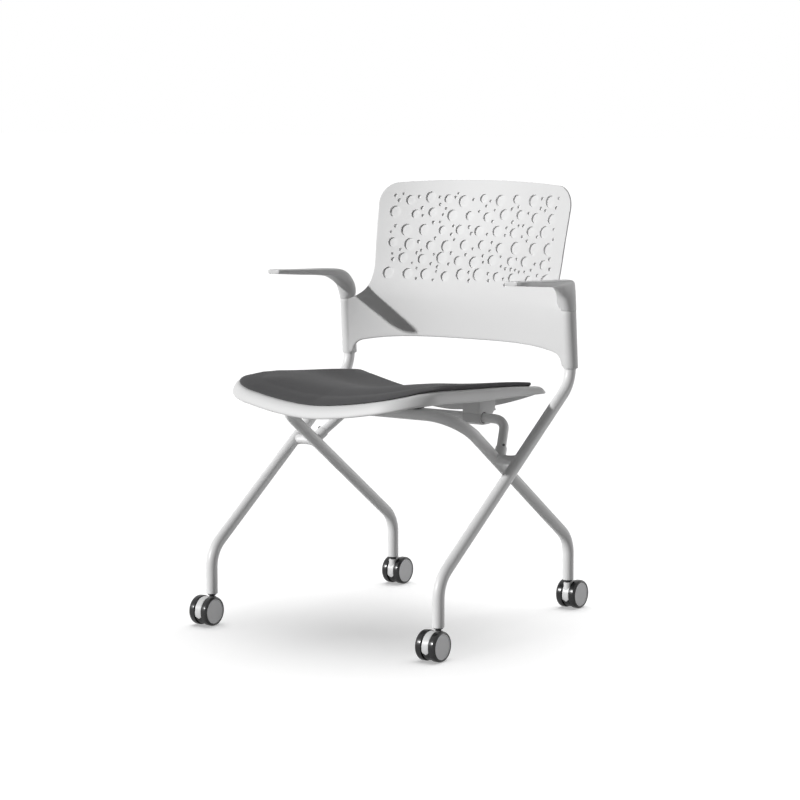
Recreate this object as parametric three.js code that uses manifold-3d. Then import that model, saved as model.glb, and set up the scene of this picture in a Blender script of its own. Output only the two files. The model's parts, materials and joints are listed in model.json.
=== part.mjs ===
// Nesting chair: a flip-up dished seat and a one-piece moulded back on crossed tube frames with twin-wheel casters.
// Millimetres, +Z up. The sitter faces -Y and the sitter's left is +X. The origin is on the floor, under the middle.

import * as THREE from 'three';
import { mergeVertices } from 'three/addons/utils/BufferGeometryUtils.js';
import Module from 'manifold-3d';

const wasm = await Module();
wasm.setup();

// Fits
const restGap = 0.3; // between pieces that touch and do not move on each other
const runningGap = 0.08; // round a bar, pin or axle that something turns on
const cutOver = 2; // how far a cutting shape runs past what it cuts

// Leg tubes
const tubeDiameter = 22;
const tubeWall = 1.8;
const stemSpread = 510; // front to rear, between the casters' swivel axes
const frontTrack = 521;
const legOffset = 50.5; // how much further in each rear leg stands
const tubeEndHeight = 57.5;
const kneeHeight = 138; // where a leg turns from upright to sloping
const crossingDrop = 92.5; // from the pad's low place down to where front and rear legs pass each other
const kneeBend = 60;
const uprightSetback = 176;
const uprightBend = 61;
const uprightLength = 104.5; // from where the leg turns upright again to its end
const frontBarRise = 88.75; // the cross bar under the seat's front, above the crossing
const frontBarBend = 70;

// Seat pivot bar
const pivotTubeDiameter = 18;
const pivotTubeWall = 1.8;
const pivotSetback = 76.5;
const pivotDrop = 30; // from the pad's low place down to the bar
const pivotCornerInset = 29.5; // from the rear leg in to the corner where the bar turns down to its foot
const pivotBend = 38;
const stubInset = 0.5; // the bar's foot, in from the rear leg
const stubSetback = 18.2;
const stubRise = 13.5; // the bar's foot, above the crossing

// Knuckles that join the tubes
const knuckleRadius = 13;
const collarWall = 2.6;
const collarRise = 7;
const stubEntry = 5;
const stubScrewRadius = 2.6;
const stubScrewLength = 3;
const stubScrewSink = 1.4;

// Back and sleeves
const backRise = 242; // from the sleeve's head to the back's top edge
const backTopDrop = 10; // how much lower the top edge ends than its middle
const backBottomDrop = 66; // from the sleeve's head down to the middle of the bottom arch
const backArch = 20; // how much lower the bottom arch ends than its middle
const backThickness = 4.2;
const backBottomSetback = 209;
const backLean = 60;
const backWrap = 44; // how far the sides come forward of the middle
const backWaistHalf = 218;
const backTopHalf = 225.5;
const backWaistRise = 64; // from the sleeve's head to the narrow place
const backCorner = 38;
const wingDrop = 8; // below the sleeve's head, where the panel's edge leaves the sleeve
const notchHalf = 232.5;
const notchRise = 4;
const sleeveLength = 106;
const sleeveHeadRise = 28; // the sleeve's head, above the end of the tube in it
const sleeveFootRadius = 13.6;
const sleeveHeadAcross = 13.2; // half of the head's width, sideways
const sleeveHeadDepth = 16; // half of the head's width, front to rear
const sleeveHeadShift = 5; // how far the head stands forward of the tube
const backScrewRadius = 4;
const backScrewLength = 1.8;
const backScrewRise = 38; // above the sleeve's foot
const backScrewSink = 0.7;

// Arms
const armRise = 66; // from the sleeve's head to the rest's highest place at the front
const armReach = 230; // from the sleeve's head to the tip
const armHalfWidth = 22;
const armSplay = 11; // how far the tip stands outside the sleeve
const armSpigotDepth = 22;

// Seat
const seatHalfWidth = 226;
const seatFront = 298;
const seatRear = 160;
const seatFrontBow = 9;
const seatFrontCorner = 100;
const seatRearCorner = 20;
const seatDish = 37; // the pad's side edge at the rear, above its middle
const seatSideRise = 22; // from there to the side edge's highest place
const seatMiddleHeight = 416; // top of the pad at its rear edge's middle; the frame's crossing follows it
const seatMiddleRise = 33; // from there to the highest place of the middle line
const padInset = 23;
const padFrontInset = 13;
const padThickness = 9;
const padCrown = 2;
const padEdgeRound = 3;
const padPull = 1.2; // how far the pad's edge draws in under its top
const shellThickness = 4.8;
const shellBand = 22; // height of the rolled side band at the front
const shellRearBand = 13; // its height at the rear corners
const shellRearSag = 9; // how much deeper the rear edge is in its middle
const shellBandWall = 4;

// Pivot clamps and rest pads
const clampInset = 87; // from the bar's corner in to the clamp's inner side
const clampWidth = 39.5;
const clampFrontWall = 4;
const clampDepth = 52;
const clampWaist = 38; // depth where the upper body meets the jaw
const clampFlare = 14; // height over which it widens to its full depth
const jawWall = 2.4;
const jawChamfer = 5;
const jawLip = 8;
const cutLidRise = 60; // how far the shape that cuts what is under the shell rises above its sides
const bushWall = 1.6;
const bushEndSpare = 1;
const clampScrewRadius = 2.4;
const clampScrewHead = 4.2;
const clampScrewHeadDepth = 3;
const clampScrewSetback = 17;
const clampScrewLength = 20;
const restPadInset = 98; // from the rear leg in to the pad's middle
const restPadWidth = 34;
const restPadDepth = 18;

// Casters
const wheelDiameter = 56;
const wheelWidth = 13.6;
const casterWidth = 43.5;
const casterTrail = 16;
const tyreInnerRadius = 23.4;
const tyreShoulder = 3;
const hubCapDish = 0.8;
const hubDepth = 11;
const hubFloor = 4;
const axleRadius = 3;
const axleSpare = 1.2; // left in front of the axle's ends inside the hubs
const hoodWidth = 14.2;
const hoodRadius = 26;
const hoodWall = 3.6;
const hoodBossRadius = 8.2;
const hoodTop = 52;
const hoodPoint = 4.6; // depth of the hood's pointed lower end
const coreRadius = 21.6;
const coreWidth = 13;
const stemRadius = 5.2;
const stemFoot = 34;
const stemPlugLength = 24;

// How many flats stand for a circle
const tubeSides = 12;
const smallSides = 12;
const wheelSides = 20;
const seatSides = 48;
const armSides = 12;
const bendStep = Math.PI / 11;

const rearTrack = frontTrack - 2 * legOffset;
const seatSideHeight = seatMiddleHeight + seatDish;
const crossingHeight = seatMiddleHeight - crossingDrop;
const pivotHeight = seatMiddleHeight - pivotDrop;
const pivotCornerReach = rearTrack / 2 - pivotCornerInset;
const stubFoot = new THREE.Vector3(rearTrack / 2 - stubInset, stubSetback, crossingHeight + stubRise);
const tubeRadius = tubeDiameter / 2;
const tubeBore = tubeRadius - tubeWall;
const pivotRadius = pivotTubeDiameter / 2;
const wheelRadius = wheelDiameter / 2;
const legSlope = (crossingHeight - kneeHeight) / (stemSpread / 2);
const frontBarHeight = crossingHeight + frontBarRise;
const frontBarAdvance = frontBarRise / legSlope;
const uprightFoot = crossingHeight + legSlope * uprightSetback;
const uprightTop = uprightFoot + uprightLength;
const sleeveTop = uprightTop + sleeveHeadRise;
const sleeveBottom = sleeveTop - sleeveLength;
const backScrewHeight = sleeveBottom + backScrewRise;
const backTop = sleeveTop + backRise;
const backBottom = sleeveTop - backBottomDrop;
const backWaistHeight = sleeveTop + backWaistRise;
const wingTop = sleeveTop - wingDrop;
const notchHeight = sleeveTop + notchRise;
const clampInner = pivotCornerReach - clampInset;
const restPadReach = rearTrack / 2 - restPadInset;
const axleHeight = wheelRadius * Math.cos(Math.PI / wheelSides); // one flat of each tyre stands on the floor

const finishes = {
  paint: { color: 0xd9dadb, roughness: 0.38, metalness: 0.1 },
  shell: { color: 0xe6e7e8, roughness: 0.42, metalness: 0 },
  arm: { color: 0xc9cacb, roughness: 0.45, metalness: 0 },
  pad: { color: 0x4b4c4e, roughness: 0.85, metalness: 0 },
  bracket: { color: 0xb4b5b6, roughness: 0.5, metalness: 0 },
  rubber: { color: 0x232324, roughness: 0.7, metalness: 0 },
  tyre: { color: 0x141415, roughness: 0.3, metalness: 0 },
  cap: { color: 0xa5a6a8, roughness: 0.4, metalness: 0 },
  hood: { color: 0xe2e3e4, roughness: 0.4, metalness: 0 },
  steel: { color: 0x8d8f92, roughness: 0.35, metalness: 0.9 },
  bush: { color: 0x3a3a3c, roughness: 0.5, metalness: 0 },
};

const chair = new THREE.Group();

function add(name, finish, geometry) {
  const mesh = new THREE.Mesh(geometry, new THREE.MeshStandardMaterial(finishes[finish]));
  mesh.name = name;
  chair.add(mesh);
}

// Solids

function closed(geometry) {
  geometry.deleteAttribute('normal');
  geometry.deleteAttribute('uv');
  return outward(mergeVertices(geometry));
}

function signedVolume(geometry) {
  const places = geometry.getAttribute('position');
  const order = geometry.index.array;
  const corner = [new THREE.Vector3(), new THREE.Vector3(), new THREE.Vector3()];
  let sum = 0;
  for (let i = 0; i < order.length; i += 3) {
    corner.forEach((point, k) => point.fromBufferAttribute(places, order[i + k]));
    sum += corner[0].dot(corner[1].cross(corner[2]));
  }
  return sum;
}

function turned(geometry) {
  const order = geometry.index.array;
  for (let i = 0; i < order.length; i += 3) {
    [order[i + 1], order[i + 2]] = [order[i + 2], order[i + 1]];
  }
  return geometry;
}

function outward(geometry) {
  return signedVolume(geometry) < 0 ? turned(geometry) : geometry;
}

function mirrored(geometry) {
  const copy = geometry.clone();
  copy.scale(-1, 1, 1);
  return turned(copy);
}

function solid(geometry) {
  const vertProperties = Float32Array.from(geometry.getAttribute('position').array);
  const triVerts = Uint32Array.from(geometry.index.array);
  return new wasm.Manifold(new wasm.Mesh({ numProp: 3, vertProperties, triVerts }));
}

function surface(body) {
  const mesh = body.getMesh();
  const geometry = new THREE.BufferGeometry();
  geometry.setAttribute('position', new THREE.BufferAttribute(mesh.vertProperties, 3));
  geometry.setIndex(new THREE.BufferAttribute(mesh.triVerts, 1));
  return geometry;
}

function joined(...geometries) {
  return surface(geometries.map(solid).reduce((whole, piece) => whole.add(piece)));
}

function cut(geometry, ...tools) {
  return surface(tools.map(solid).reduce((whole, tool) => whole.subtract(tool), solid(geometry)));
}

// Radius of a many-sided hole whose flats clear a round piece by the gap
function holeRadius(radius, gap, sides) {
  return (radius + gap) / Math.cos(Math.PI / sides);
}

function rod(radius, from, to, sides = smallSides) {
  const along = new THREE.Vector3().subVectors(to, from);
  const geometry = new THREE.CylinderGeometry(radius, radius, along.length(), sides);
  geometry.applyQuaternion(new THREE.Quaternion().setFromUnitVectors(
    new THREE.Vector3(0, 1, 0), along.clone().normalize()));
  geometry.translate(...new THREE.Vector3().addVectors(from, to).multiplyScalar(1 / 2).toArray());
  return closed(geometry);
}

function block(low, high) {
  const size = new THREE.Vector3().subVectors(high, low);
  const geometry = new THREE.BoxGeometry(size.x, size.y, size.z);
  geometry.translate(low.x + size.x / 2, low.y + size.y / 2, low.z + size.z / 2);
  return closed(geometry);
}

// A closed skin over rings of equal counts, with a fan at each end
function loft(rings) {
  const count = rings[0].length;
  const places = rings.flat();
  const order = [];
  for (let ring = 0; ring < rings.length - 1; ring += 1) {
    for (let i = 0; i < count; i += 1) {
      const a = ring * count + i;
      const b = ring * count + (i + 1) % count;
      order.push(a, b, b + count, a, b + count, a + count);
    }
  }
  [0, rings.length - 1].forEach((ring, end) => {
    const middle = rings[ring].reduce((sum, point) => sum.add(point), new THREE.Vector3());
    const hub = places.push(middle.multiplyScalar(1 / count)) - 1;
    for (let i = 0; i < count; i += 1) {
      const pair = [ring * count + i, ring * count + (i + 1) % count];
      order.push(hub, pair[1 - end], pair[end]);
    }
  });
  const geometry = new THREE.BufferGeometry().setFromPoints(places);
  geometry.setIndex(order);
  return closed(geometry);
}

// A convex outline in the plane across an axis, carried along that axis
function prism(outline, axis, from, to) {
  const ring = (place) => outline.map(([across, up]) => (
    axis === 'x' ? new THREE.Vector3(place, across, up) : new THREE.Vector3(across, place, up)));
  return loft([ring(from), ring(to)]);
}

// A closed skin over two grids of points, one for each face
function slab(face, rear) {
  const rows = face.length;
  const columns = face[0].length;
  const places = [...face.flat(), ...rear.flat()];
  const at = (row, column, side) => side * rows * columns + row * columns + column;
  const order = [];
  const quad = (a, b, c, d) => order.push(a, b, c, a, c, d);
  for (let row = 0; row < rows - 1; row += 1) {
    for (let column = 0; column < columns - 1; column += 1) {
      quad(at(row, column, 0), at(row, column + 1, 0), at(row + 1, column + 1, 0), at(row + 1, column, 0));
      quad(at(row, column, 1), at(row + 1, column, 1), at(row + 1, column + 1, 1), at(row, column + 1, 1));
    }
    quad(at(row, 0, 0), at(row + 1, 0, 0), at(row + 1, 0, 1), at(row, 0, 1));
    quad(at(row, columns - 1, 0), at(row, columns - 1, 1), at(row + 1, columns - 1, 1), at(row + 1, columns - 1, 0));
  }
  for (let column = 0; column < columns - 1; column += 1) {
    quad(at(0, column, 0), at(0, column, 1), at(0, column + 1, 1), at(0, column + 1, 0));
    quad(at(rows - 1, column, 0), at(rows - 1, column + 1, 0), at(rows - 1, column + 1, 1), at(rows - 1, column, 1));
  }
  const geometry = new THREE.BufferGeometry().setFromPoints(places);
  geometry.setIndex(order);
  return closed(geometry);
}

// Smooth reading of a table of [place, value] pairs
function eased(table, place) {
  const last = table.length - 1;
  const start = Math.max(table.findLastIndex((entry) => entry[0] <= place), 0);
  const index = Math.min(start, last - 1);
  const slope = (k) => {
    const before = table[Math.max(k - 1, 0)];
    const after = table[Math.min(k + 1, last)];
    return (after[1] - before[1]) / (after[0] - before[0]);
  };
  const span = table[index + 1][0] - table[index][0];
  const t = THREE.MathUtils.clamp((place - table[index][0]) / span, 0, 1);
  const lift = t * t * (3 - 2 * t);
  return table[index][1] * (1 - lift) + table[index + 1][1] * lift
    + span * t * (1 - t) * (slope(index) * (1 - t) - slope(index + 1) * t);
}

// Bent tubes

class StationCurve extends THREE.Curve {
  constructor(stations) {
    super();
    this.stations = stations;
  }

  getPoint(t, target = new THREE.Vector3()) {
    const place = t * (this.stations.length - 1);
    const index = THREE.MathUtils.clamp(Math.floor(place), 0, this.stations.length - 2);
    return target.lerpVectors(this.stations[index], this.stations[index + 1], place - index);
  }

  getPointAt(u, target) {
    return this.getPoint(u, target);
  }

  getTangentAt(u, target) {
    return this.getTangent(u, target);
  }
}

// Stations along a run of corners, each rounded to its bend radius
function bentStations(corners, bends) {
  const stations = [corners[0]];
  for (let i = 1; i < corners.length - 1; i += 1) {
    const arrive = new THREE.Vector3().subVectors(corners[i], corners[i - 1]).normalize();
    const leave = new THREE.Vector3().subVectors(corners[i + 1], corners[i]).normalize();
    const angle = arrive.angleTo(leave);
    const inward = leave.clone().addScaledVector(arrive, -Math.cos(angle)).normalize();
    const start = corners[i].clone().addScaledVector(arrive, -bends[i - 1] * Math.tan(angle / 2));
    const steps = Math.ceil(angle / bendStep);
    for (let k = 0; k <= steps; k += 1) {
      const part = angle * k / steps;
      stations.push(start.clone()
        .addScaledVector(arrive, bends[i - 1] * Math.sin(part))
        .addScaledVector(inward, bends[i - 1] * (1 - Math.cos(part))));
    }
  }
  stations.push(corners[corners.length - 1]);
  return stations;
}

function tube(stations, outerRadius, innerRadius) {
  const section = new THREE.Shape().absarc(0, 0, outerRadius, 0, 2 * Math.PI, false);
  if (innerRadius > 0) section.holes.push(new THREE.Path().absarc(0, 0, innerRadius, 0, 2 * Math.PI, true));
  return closed(new THREE.ExtrudeGeometry(section, {
    steps: stations.length - 1,
    curveSegments: tubeSides / 2,
    extrudePath: new StationCurve(stations),
  }));
}

// Frame

function sideFrameStations() {
  const x = frontTrack / 2;
  const front = -stemSpread / 2;
  return bentStations([
    new THREE.Vector3(x, front, tubeEndHeight),
    new THREE.Vector3(x, front, kneeHeight),
    new THREE.Vector3(x, uprightSetback, uprightFoot),
    new THREE.Vector3(x, uprightSetback, uprightTop),
  ], [kneeBend, uprightBend]);
}

function rearFrameStations() {
  const x = rearTrack / 2;
  const rear = stemSpread / 2;
  const half = [
    new THREE.Vector3(x, rear, tubeEndHeight),
    new THREE.Vector3(x, rear, kneeHeight),
    new THREE.Vector3(x, -frontBarAdvance, frontBarHeight),
  ];
  const otherHalf = half.map((point) => new THREE.Vector3(-point.x, point.y, point.z)).reverse();
  return bentStations([...half, ...otherHalf], [kneeBend, frontBarBend, frontBarBend, kneeBend]);
}

function pivotCorner() {
  return new THREE.Vector3(pivotCornerReach, pivotSetback, pivotHeight);
}

function stubDirection() {
  return pivotCorner().sub(stubFoot).normalize();
}

function pivotBarStations() {
  const foot = stubFoot.clone().addScaledVector(stubDirection(), collarRise - stubEntry);
  const half = [foot, pivotCorner()];
  const otherHalf = half.map((point) => new THREE.Vector3(-point.x, point.y, point.z)).reverse();
  return bentStations([...half, ...otherHalf], [pivotBend, pivotBend]);
}

function stubScrewAim() {
  const outwards = new THREE.Vector3(1, -1, 0).normalize();
  const along = stubDirection();
  return outwards.addScaledVector(along, -outwards.dot(along)).normalize();
}

function stubScrewFoot() {
  const middle = stubFoot.clone().addScaledVector(stubDirection(), collarRise - stubEntry / 2);
  return middle.addScaledVector(stubScrewAim(), pivotRadius + restGap + collarWall - stubScrewSink);
}

function knuckle() {
  const crossing = (x) => new THREE.Vector3(x, 0, crossingHeight);
  const bridge = rod(knuckleRadius, crossing(rearTrack / 2), crossing(frontTrack / 2), tubeSides);
  const along = stubDirection();
  const collarRadius = pivotRadius + restGap + collarWall;
  const root = crossing((rearTrack + frontTrack) / 4).sub(stubFoot).dot(along);
  const collar = rod(collarRadius, stubFoot.clone().addScaledVector(along, root),
    stubFoot.clone().addScaledVector(along, collarRise), tubeSides);
  const socket = rod(holeRadius(pivotRadius, restGap, tubeSides),
    stubFoot.clone().addScaledVector(along, collarRise - stubEntry - restGap),
    stubFoot.clone().addScaledVector(along, collarRise + cutOver), tubeSides);
  const legHole = holeRadius(tubeRadius, restGap, tubeSides);
  const screwHole = rod(holeRadius(stubScrewRadius, restGap, smallSides),
    stubScrewFoot().addScaledVector(stubScrewAim(), -restGap),
    stubScrewFoot().addScaledVector(stubScrewAim(), stubScrewLength + cutOver));
  return cut(joined(bridge, collar), socket, screwHole,
    tube(sideFrameStations(), legHole, 0), tube(rearFrameStations(), legHole, 0));
}

function buildFrame() {
  const side = tube(sideFrameStations(), tubeRadius, tubeBore);
  const casting = knuckle();
  const screw = rod(stubScrewRadius, stubScrewFoot(),
    stubScrewFoot().addScaledVector(stubScrewAim(), stubScrewLength));
  add('side_frame_left', 'paint', side);
  add('side_frame_right', 'paint', mirrored(side));
  add('rear_leg_frame', 'paint', tube(rearFrameStations(), tubeRadius, tubeBore));
  add('seat_pivot_bar', 'paint', tube(pivotBarStations(), pivotRadius, pivotRadius - pivotTubeWall));
  add('frame_knuckle_left', 'paint', casting);
  add('frame_knuckle_right', 'paint', mirrored(casting));
  add('knuckle_screw_left', 'steel', screw);
  add('knuckle_screw_right', 'steel', mirrored(screw));
}

// Back: [height share, share of the lean] and [height share, share of the wrap]
const leanShares = [[0, 0], [0.23, 0.12], [0.42, 0.3], [0.63, 0.52], [0.84, 0.8], [1, 1]];
const wrapShares = [[0, 0.86], [0.23, 0.95], [0.42, 0.67], [0.63, 0.66], [0.84, 0.72], [1, 0.78]];
const wrapPower = 2.2;
const columnShares = [0, 0.17, 0.34, 0.5, 0.65, 0.78, 0.89, 0.96, 1];
const bandRowShares = [0, 0.33, 0.66, 1];
const flareShares = [[0, 1], [0.2, 0.66], [0.5, 0.26], [1, 0]]; // height, then width, from notch to waist
const panelRowShares = [0.3, 0.6, 0.85];
const cornerSteps = 4;

function backSurface(x, z, inset) {
  const share = (z - backBottom) / (backTop - backBottom);
  const wrap = backWrap * eased(wrapShares, share) * Math.min(Math.abs(x / notchHalf), 1) ** wrapPower;
  return new THREE.Vector3(x, backBottomSetback + backLean * eased(leanShares, share) - wrap + inset, z);
}

function backTopEdge(x) {
  return backTop - backTopDrop * (x / backTopHalf) ** 2;
}

function backBottomEdge(x) {
  return backBottom - backArch * Math.abs(2 * x / frontTrack) ** 4;
}

function backRows() {
  const rows = bandRowShares.map((share) => ({
    half: frontTrack / 2,
    height: (x) => THREE.MathUtils.lerp(backBottomEdge(x), wingTop, share),
  }));
  flareShares.forEach(([up, out]) => rows.push({
    half: THREE.MathUtils.lerp(backWaistHalf, notchHalf, out),
    height: () => THREE.MathUtils.lerp(notchHeight, backWaistHeight, up),
  }));
  const cornerStart = backTop - backCorner;
  panelRowShares.forEach((share) => rows.push({
    half: THREE.MathUtils.lerp(backWaistHalf, backTopHalf, share),
    height: (x) => THREE.MathUtils.lerp(backWaistHeight, cornerStart - backTop + backTopEdge(x), share),
  }));
  for (let k = 0; k <= cornerSteps; k += 1) {
    const angle = Math.PI / 2 * k / cornerSteps;
    rows.push({
      half: backTopHalf - backCorner * (1 - Math.cos(angle)),
      height: (x) => backTopEdge(x) - backCorner * (1 - Math.sin(angle)),
    });
  }
  return rows;
}

function backPanel() {
  const columns = [...columnShares.slice(1).map((share) => -share).reverse(), ...columnShares];
  const grid = (inset) => backRows().map((row) => columns.map((share) => {
    const x = share * row.half;
    return backSurface(x, row.height(x), inset);
  }));
  return slab(grid(0), grid(backThickness));
}

function sleeveRing(z, across, depth, shift) {
  const ring = [];
  for (let i = 0; i < tubeSides * 2; i += 1) {
    const angle = Math.PI * i / tubeSides;
    ring.push(new THREE.Vector3(frontTrack / 2 + across * Math.cos(angle),
      uprightSetback - shift + depth * Math.sin(angle), z));
  }
  return ring;
}

function sleeve() {
  const middle = (sleeveBottom + sleeveTop) / 2;
  return loft([
    sleeveRing(sleeveBottom, sleeveFootRadius, sleeveFootRadius, 0),
    sleeveRing(middle, (sleeveFootRadius + sleeveHeadAcross) / 2, (sleeveFootRadius + sleeveHeadDepth) / 2,
      sleeveHeadShift / 2),
    sleeveRing(sleeveTop, sleeveHeadAcross, sleeveHeadDepth, sleeveHeadShift),
  ]);
}

function sleeveRearAt(z) {
  const share = (z - sleeveBottom) / (sleeveTop - sleeveBottom);
  return uprightSetback - sleeveHeadShift * share
    + THREE.MathUtils.lerp(sleeveFootRadius, sleeveHeadDepth, share);
}

function backScrew(radius, from, length) {
  const y = sleeveRearAt(backScrewHeight) - backScrewSink;
  return rod(radius, new THREE.Vector3(frontTrack / 2, y + from, backScrewHeight),
    new THREE.Vector3(frontTrack / 2, y + from + length, backScrewHeight));
}

function buildBack() {
  const post = sleeve();
  const holes = [
    tube(sideFrameStations(), holeRadius(tubeRadius, restGap, tubeSides), 0),
    rod(holeRadius(tubeRadius, restGap, tubeSides), new THREE.Vector3(frontTrack / 2, uprightSetback, backScrewHeight),
      new THREE.Vector3(frontTrack / 2, uprightSetback, sleeveTop + cutOver), tubeSides),
    backScrew(holeRadius(backScrewRadius, restGap, smallSides), -restGap, backScrewLength + cutOver),
  ];
  const screw = backScrew(backScrewRadius, 0, backScrewLength);
  add('back_shell', 'shell', cut(joined(backPanel(), post, mirrored(post)), ...holes, ...holes.map(mirrored)));
  add('back_screw_left', 'steel', screw);
  add('back_screw_right', 'steel', mirrored(screw));
}

// Arm stations as shares: inner edge (forward, up), outer edge (forward, up), half width
const armShares = [
  [0.065, 0, -0.065, 0, 0.6],
  [0.07, 0.24, -0.06, 0.24, 0.6],
  [0.105, 0.46, -0.052, 0.52, 0.62],
  [0.155, 0.63, -0.034, 0.75, 0.66],
  [0.215, 0.765, 0.012, 0.9, 0.74],
  [0.3, 0.81, 0.1, 0.975, 0.88],
  [0.42, 0.84, 0.3, 1, 0.95],
  [0.6, 0.88, 0.58, 1.03, 1],
  [0.78, 0.925, 0.78, 1.055, 0.93],
  [0.9, 0.955, 0.905, 1.06, 0.78],
  [0.97, 0.975, 0.975, 1.045, 0.5],
  [1, 0.995, 1, 1.025, 0.22],
];
const rootPower = 1; // a round section
const restPower = 0.62; // a section with squarer corners

function armRing([innerOn, innerUp, outerOn, outerUp, width], index) {
  const foot = sleeveTop + restGap;
  const rise = armRise - restGap;
  const middleY = uprightSetback - sleeveHeadShift;
  const inner = new THREE.Vector3(0, middleY - armReach * innerOn, foot + rise * innerUp);
  const outer = new THREE.Vector3(0, middleY - armReach * outerOn, foot + rise * outerUp);
  const along = Math.min(2 * index / armShares.length, 1);
  const splay = frontTrack / 2 + armSplay * index / (armShares.length - 1);
  const power = THREE.MathUtils.lerp(rootPower, restPower, along);
  const ring = [];
  for (let i = 0; i < armSides; i += 1) {
    const angle = 2 * Math.PI * (i + 1 / 2) / armSides;
    const across = Math.sign(Math.cos(angle)) * Math.abs(Math.cos(angle)) ** power;
    const depth = Math.sign(Math.sin(angle)) * Math.abs(Math.sin(angle)) ** power;
    const point = inner.clone().lerp(outer, (1 + depth) / 2);
    ring.push(point.setX(splay + armHalfWidth * width * across));
  }
  return ring;
}

function buildArms() {
  const x = frontTrack / 2;
  const foot = sleeveTop + restGap;
  const spigotRadius = tubeBore * Math.cos(Math.PI / tubeSides) - restGap;
  const spigot = rod(spigotRadius, new THREE.Vector3(x, uprightSetback, uprightTop - armSpigotDepth),
    new THREE.Vector3(x, uprightSetback, foot + tubeWall), tubeSides);
  const arm = joined(loft(armShares.map(armRing)), spigot);
  add('arm_left', 'arm', arm);
  add('arm_right', 'arm', mirrored(arm));
}

// Seat: heights as [share of the depth from the rear, share of the rise], along the middle and along the sides
const middleShares = [[0, 0], [0.2, 0.07], [0.38, 0.38], [0.6, 0.83], [0.78, 1], [0.92, 0.98], [1, 0.93]];
const sideShares = [[0, 0], [0.12, 0.18], [0.27, 0.41], [0.56, 0.74], [0.8, 1], [0.95, 0.84], [1, 0.8]];
const dishPower = 1.65;

function seatOutline(inset) {
  const half = seatHalfWidth - inset;
  const front = -(seatFront - inset);
  const rear = seatRear - inset;
  const bow = seatFrontBow;
  const frontCorner = seatFrontCorner - inset;
  const rearCorner = seatRearCorner - inset / 2;
  const shape = new THREE.Shape();
  shape.moveTo(0, rear);
  shape.lineTo(-half + rearCorner, rear);
  shape.absarc(-half + rearCorner, rear - rearCorner, rearCorner, Math.PI / 2, Math.PI, false);
  shape.lineTo(-half, front + bow + frontCorner);
  shape.absarc(-half + frontCorner, front + bow + frontCorner, frontCorner, Math.PI, Math.PI * 3 / 2, false);
  shape.quadraticCurveTo(0, front - bow, half - frontCorner, front + bow);
  shape.absarc(half - frontCorner, front + bow + frontCorner, frontCorner, -Math.PI / 2, 0, false);
  shape.lineTo(half, rear - rearCorner);
  shape.absarc(half - rearCorner, rear - rearCorner, rearCorner, 0, Math.PI / 2, false);
  shape.lineTo(0, rear);
  return shape.getSpacedPoints(seatSides).slice(0, seatSides);
}

function depthShare(y) {
  return (seatRear - y) / (seatRear + seatFront);
}

// Height of the pad's top over the plan, without its crown
function seatTop(x, y) {
  const middle = seatMiddleHeight + seatMiddleRise * eased(middleShares, depthShare(y));
  const side = seatSideHeight + seatSideRise * eased(sideShares, depthShare(y));
  return middle + (side - middle) * Math.min(Math.abs(x) / (seatHalfWidth - padInset), 1) ** dishPower;
}

// One ring over the plan: the outline drawn in towards the seat's middle by a share
function seatRing(outline, share, height) {
  const middleY = (seatRear - seatFront) / 2;
  return outline.map((point) => {
    const x = point.x * share;
    const y = middleY + (point.y - middleY) * share;
    return new THREE.Vector3(x, y, height(x, y));
  });
}

const innerRingShares = [0.06, 0.3, 0.55, 0.78, 0.92];

// The pad's outline, drawn in further: nearer to the seat's edge in front than at the rear
function padOutline(inset) {
  const nearer = seatOutline(padFrontInset + inset);
  return seatOutline(padInset + inset).map((point, i) => point.lerp(nearer[i], depthShare(point.y)));
}

// Height of the shell's rolled edge
function bandHeight(x, y) {
  const rear = shellRearBand + shellRearSag * (1 - (x / seatHalfWidth) ** 2);
  return THREE.MathUtils.lerp(rear, shellBand, Math.min(depthShare(y) * 2, 1));
}

function shellUnder(x, y) {
  return seatTop(x, y) - padThickness - shellThickness;
}

function underRings(drop) {
  const outline = seatOutline(shellBandWall);
  return [1, ...innerRingShares.toReversed()].map((share) => (
    seatRing(outline, share, (x, y) => shellUnder(x, y) - drop)));
}

function seatShell() {
  const bed = padOutline(padPull);
  const shoulder = seatOutline(padInset / 3);
  const edge = seatOutline(0);
  const bandTop = (x, y) => seatTop(x, y) - padThickness;
  const top = [...innerRingShares, 1].map((share) => seatRing(bed, share, bandTop));
  return loft([
    ...top,
    seatRing(shoulder, 1, (x, y) => bandTop(x, y) - shellBandWall / 2),
    seatRing(edge, 1, (x, y) => bandTop(x, y) - bandHeight(x, y) / 2),
    seatRing(edge, 1, (x, y) => bandTop(x, y) - bandHeight(x, y)),
    seatRing(seatOutline(shellBandWall), 1, (x, y) => bandTop(x, y) - bandHeight(x, y)),
    ...underRings(0),
  ]);
}

function seatPad() {
  const outline = padOutline(padEdgeRound);
  const widest = padOutline(0);
  const drawnIn = padOutline(padPull);
  const crown = (share) => padCrown * (1 - share * share);
  const base = (x, y) => seatTop(x, y) - padThickness + restGap;
  const crowned = (share) => seatRing(outline, share, (x, y) => seatTop(x, y) + crown(share));
  return loft([
    ...innerRingShares.map((share) => seatRing(drawnIn, share, base)),
    seatRing(drawnIn, 1, base),
    seatRing(widest, 1, (x, y) => seatTop(x, y) - padThickness / 2),
    seatRing(widest, 1, (x, y) => seatTop(x, y) - padEdgeRound),
    seatRing(outline, 1, seatTop),
    ...innerRingShares.toReversed().map(crowned),
  ]);
}

// Everything from just below the shell upwards, for cutting what is fixed under it
function seatCeiling() {
  const lid = seatRing(seatOutline(shellBandWall), 1, () => seatSideHeight + cutLidRise);
  return loft([lid, ...underRings(restGap)]);
}

function pivotRod(radius, from, to) {
  return rod(radius, new THREE.Vector3(from, pivotSetback, pivotHeight),
    new THREE.Vector3(to, pivotSetback, pivotHeight), tubeSides * 2);
}

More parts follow.
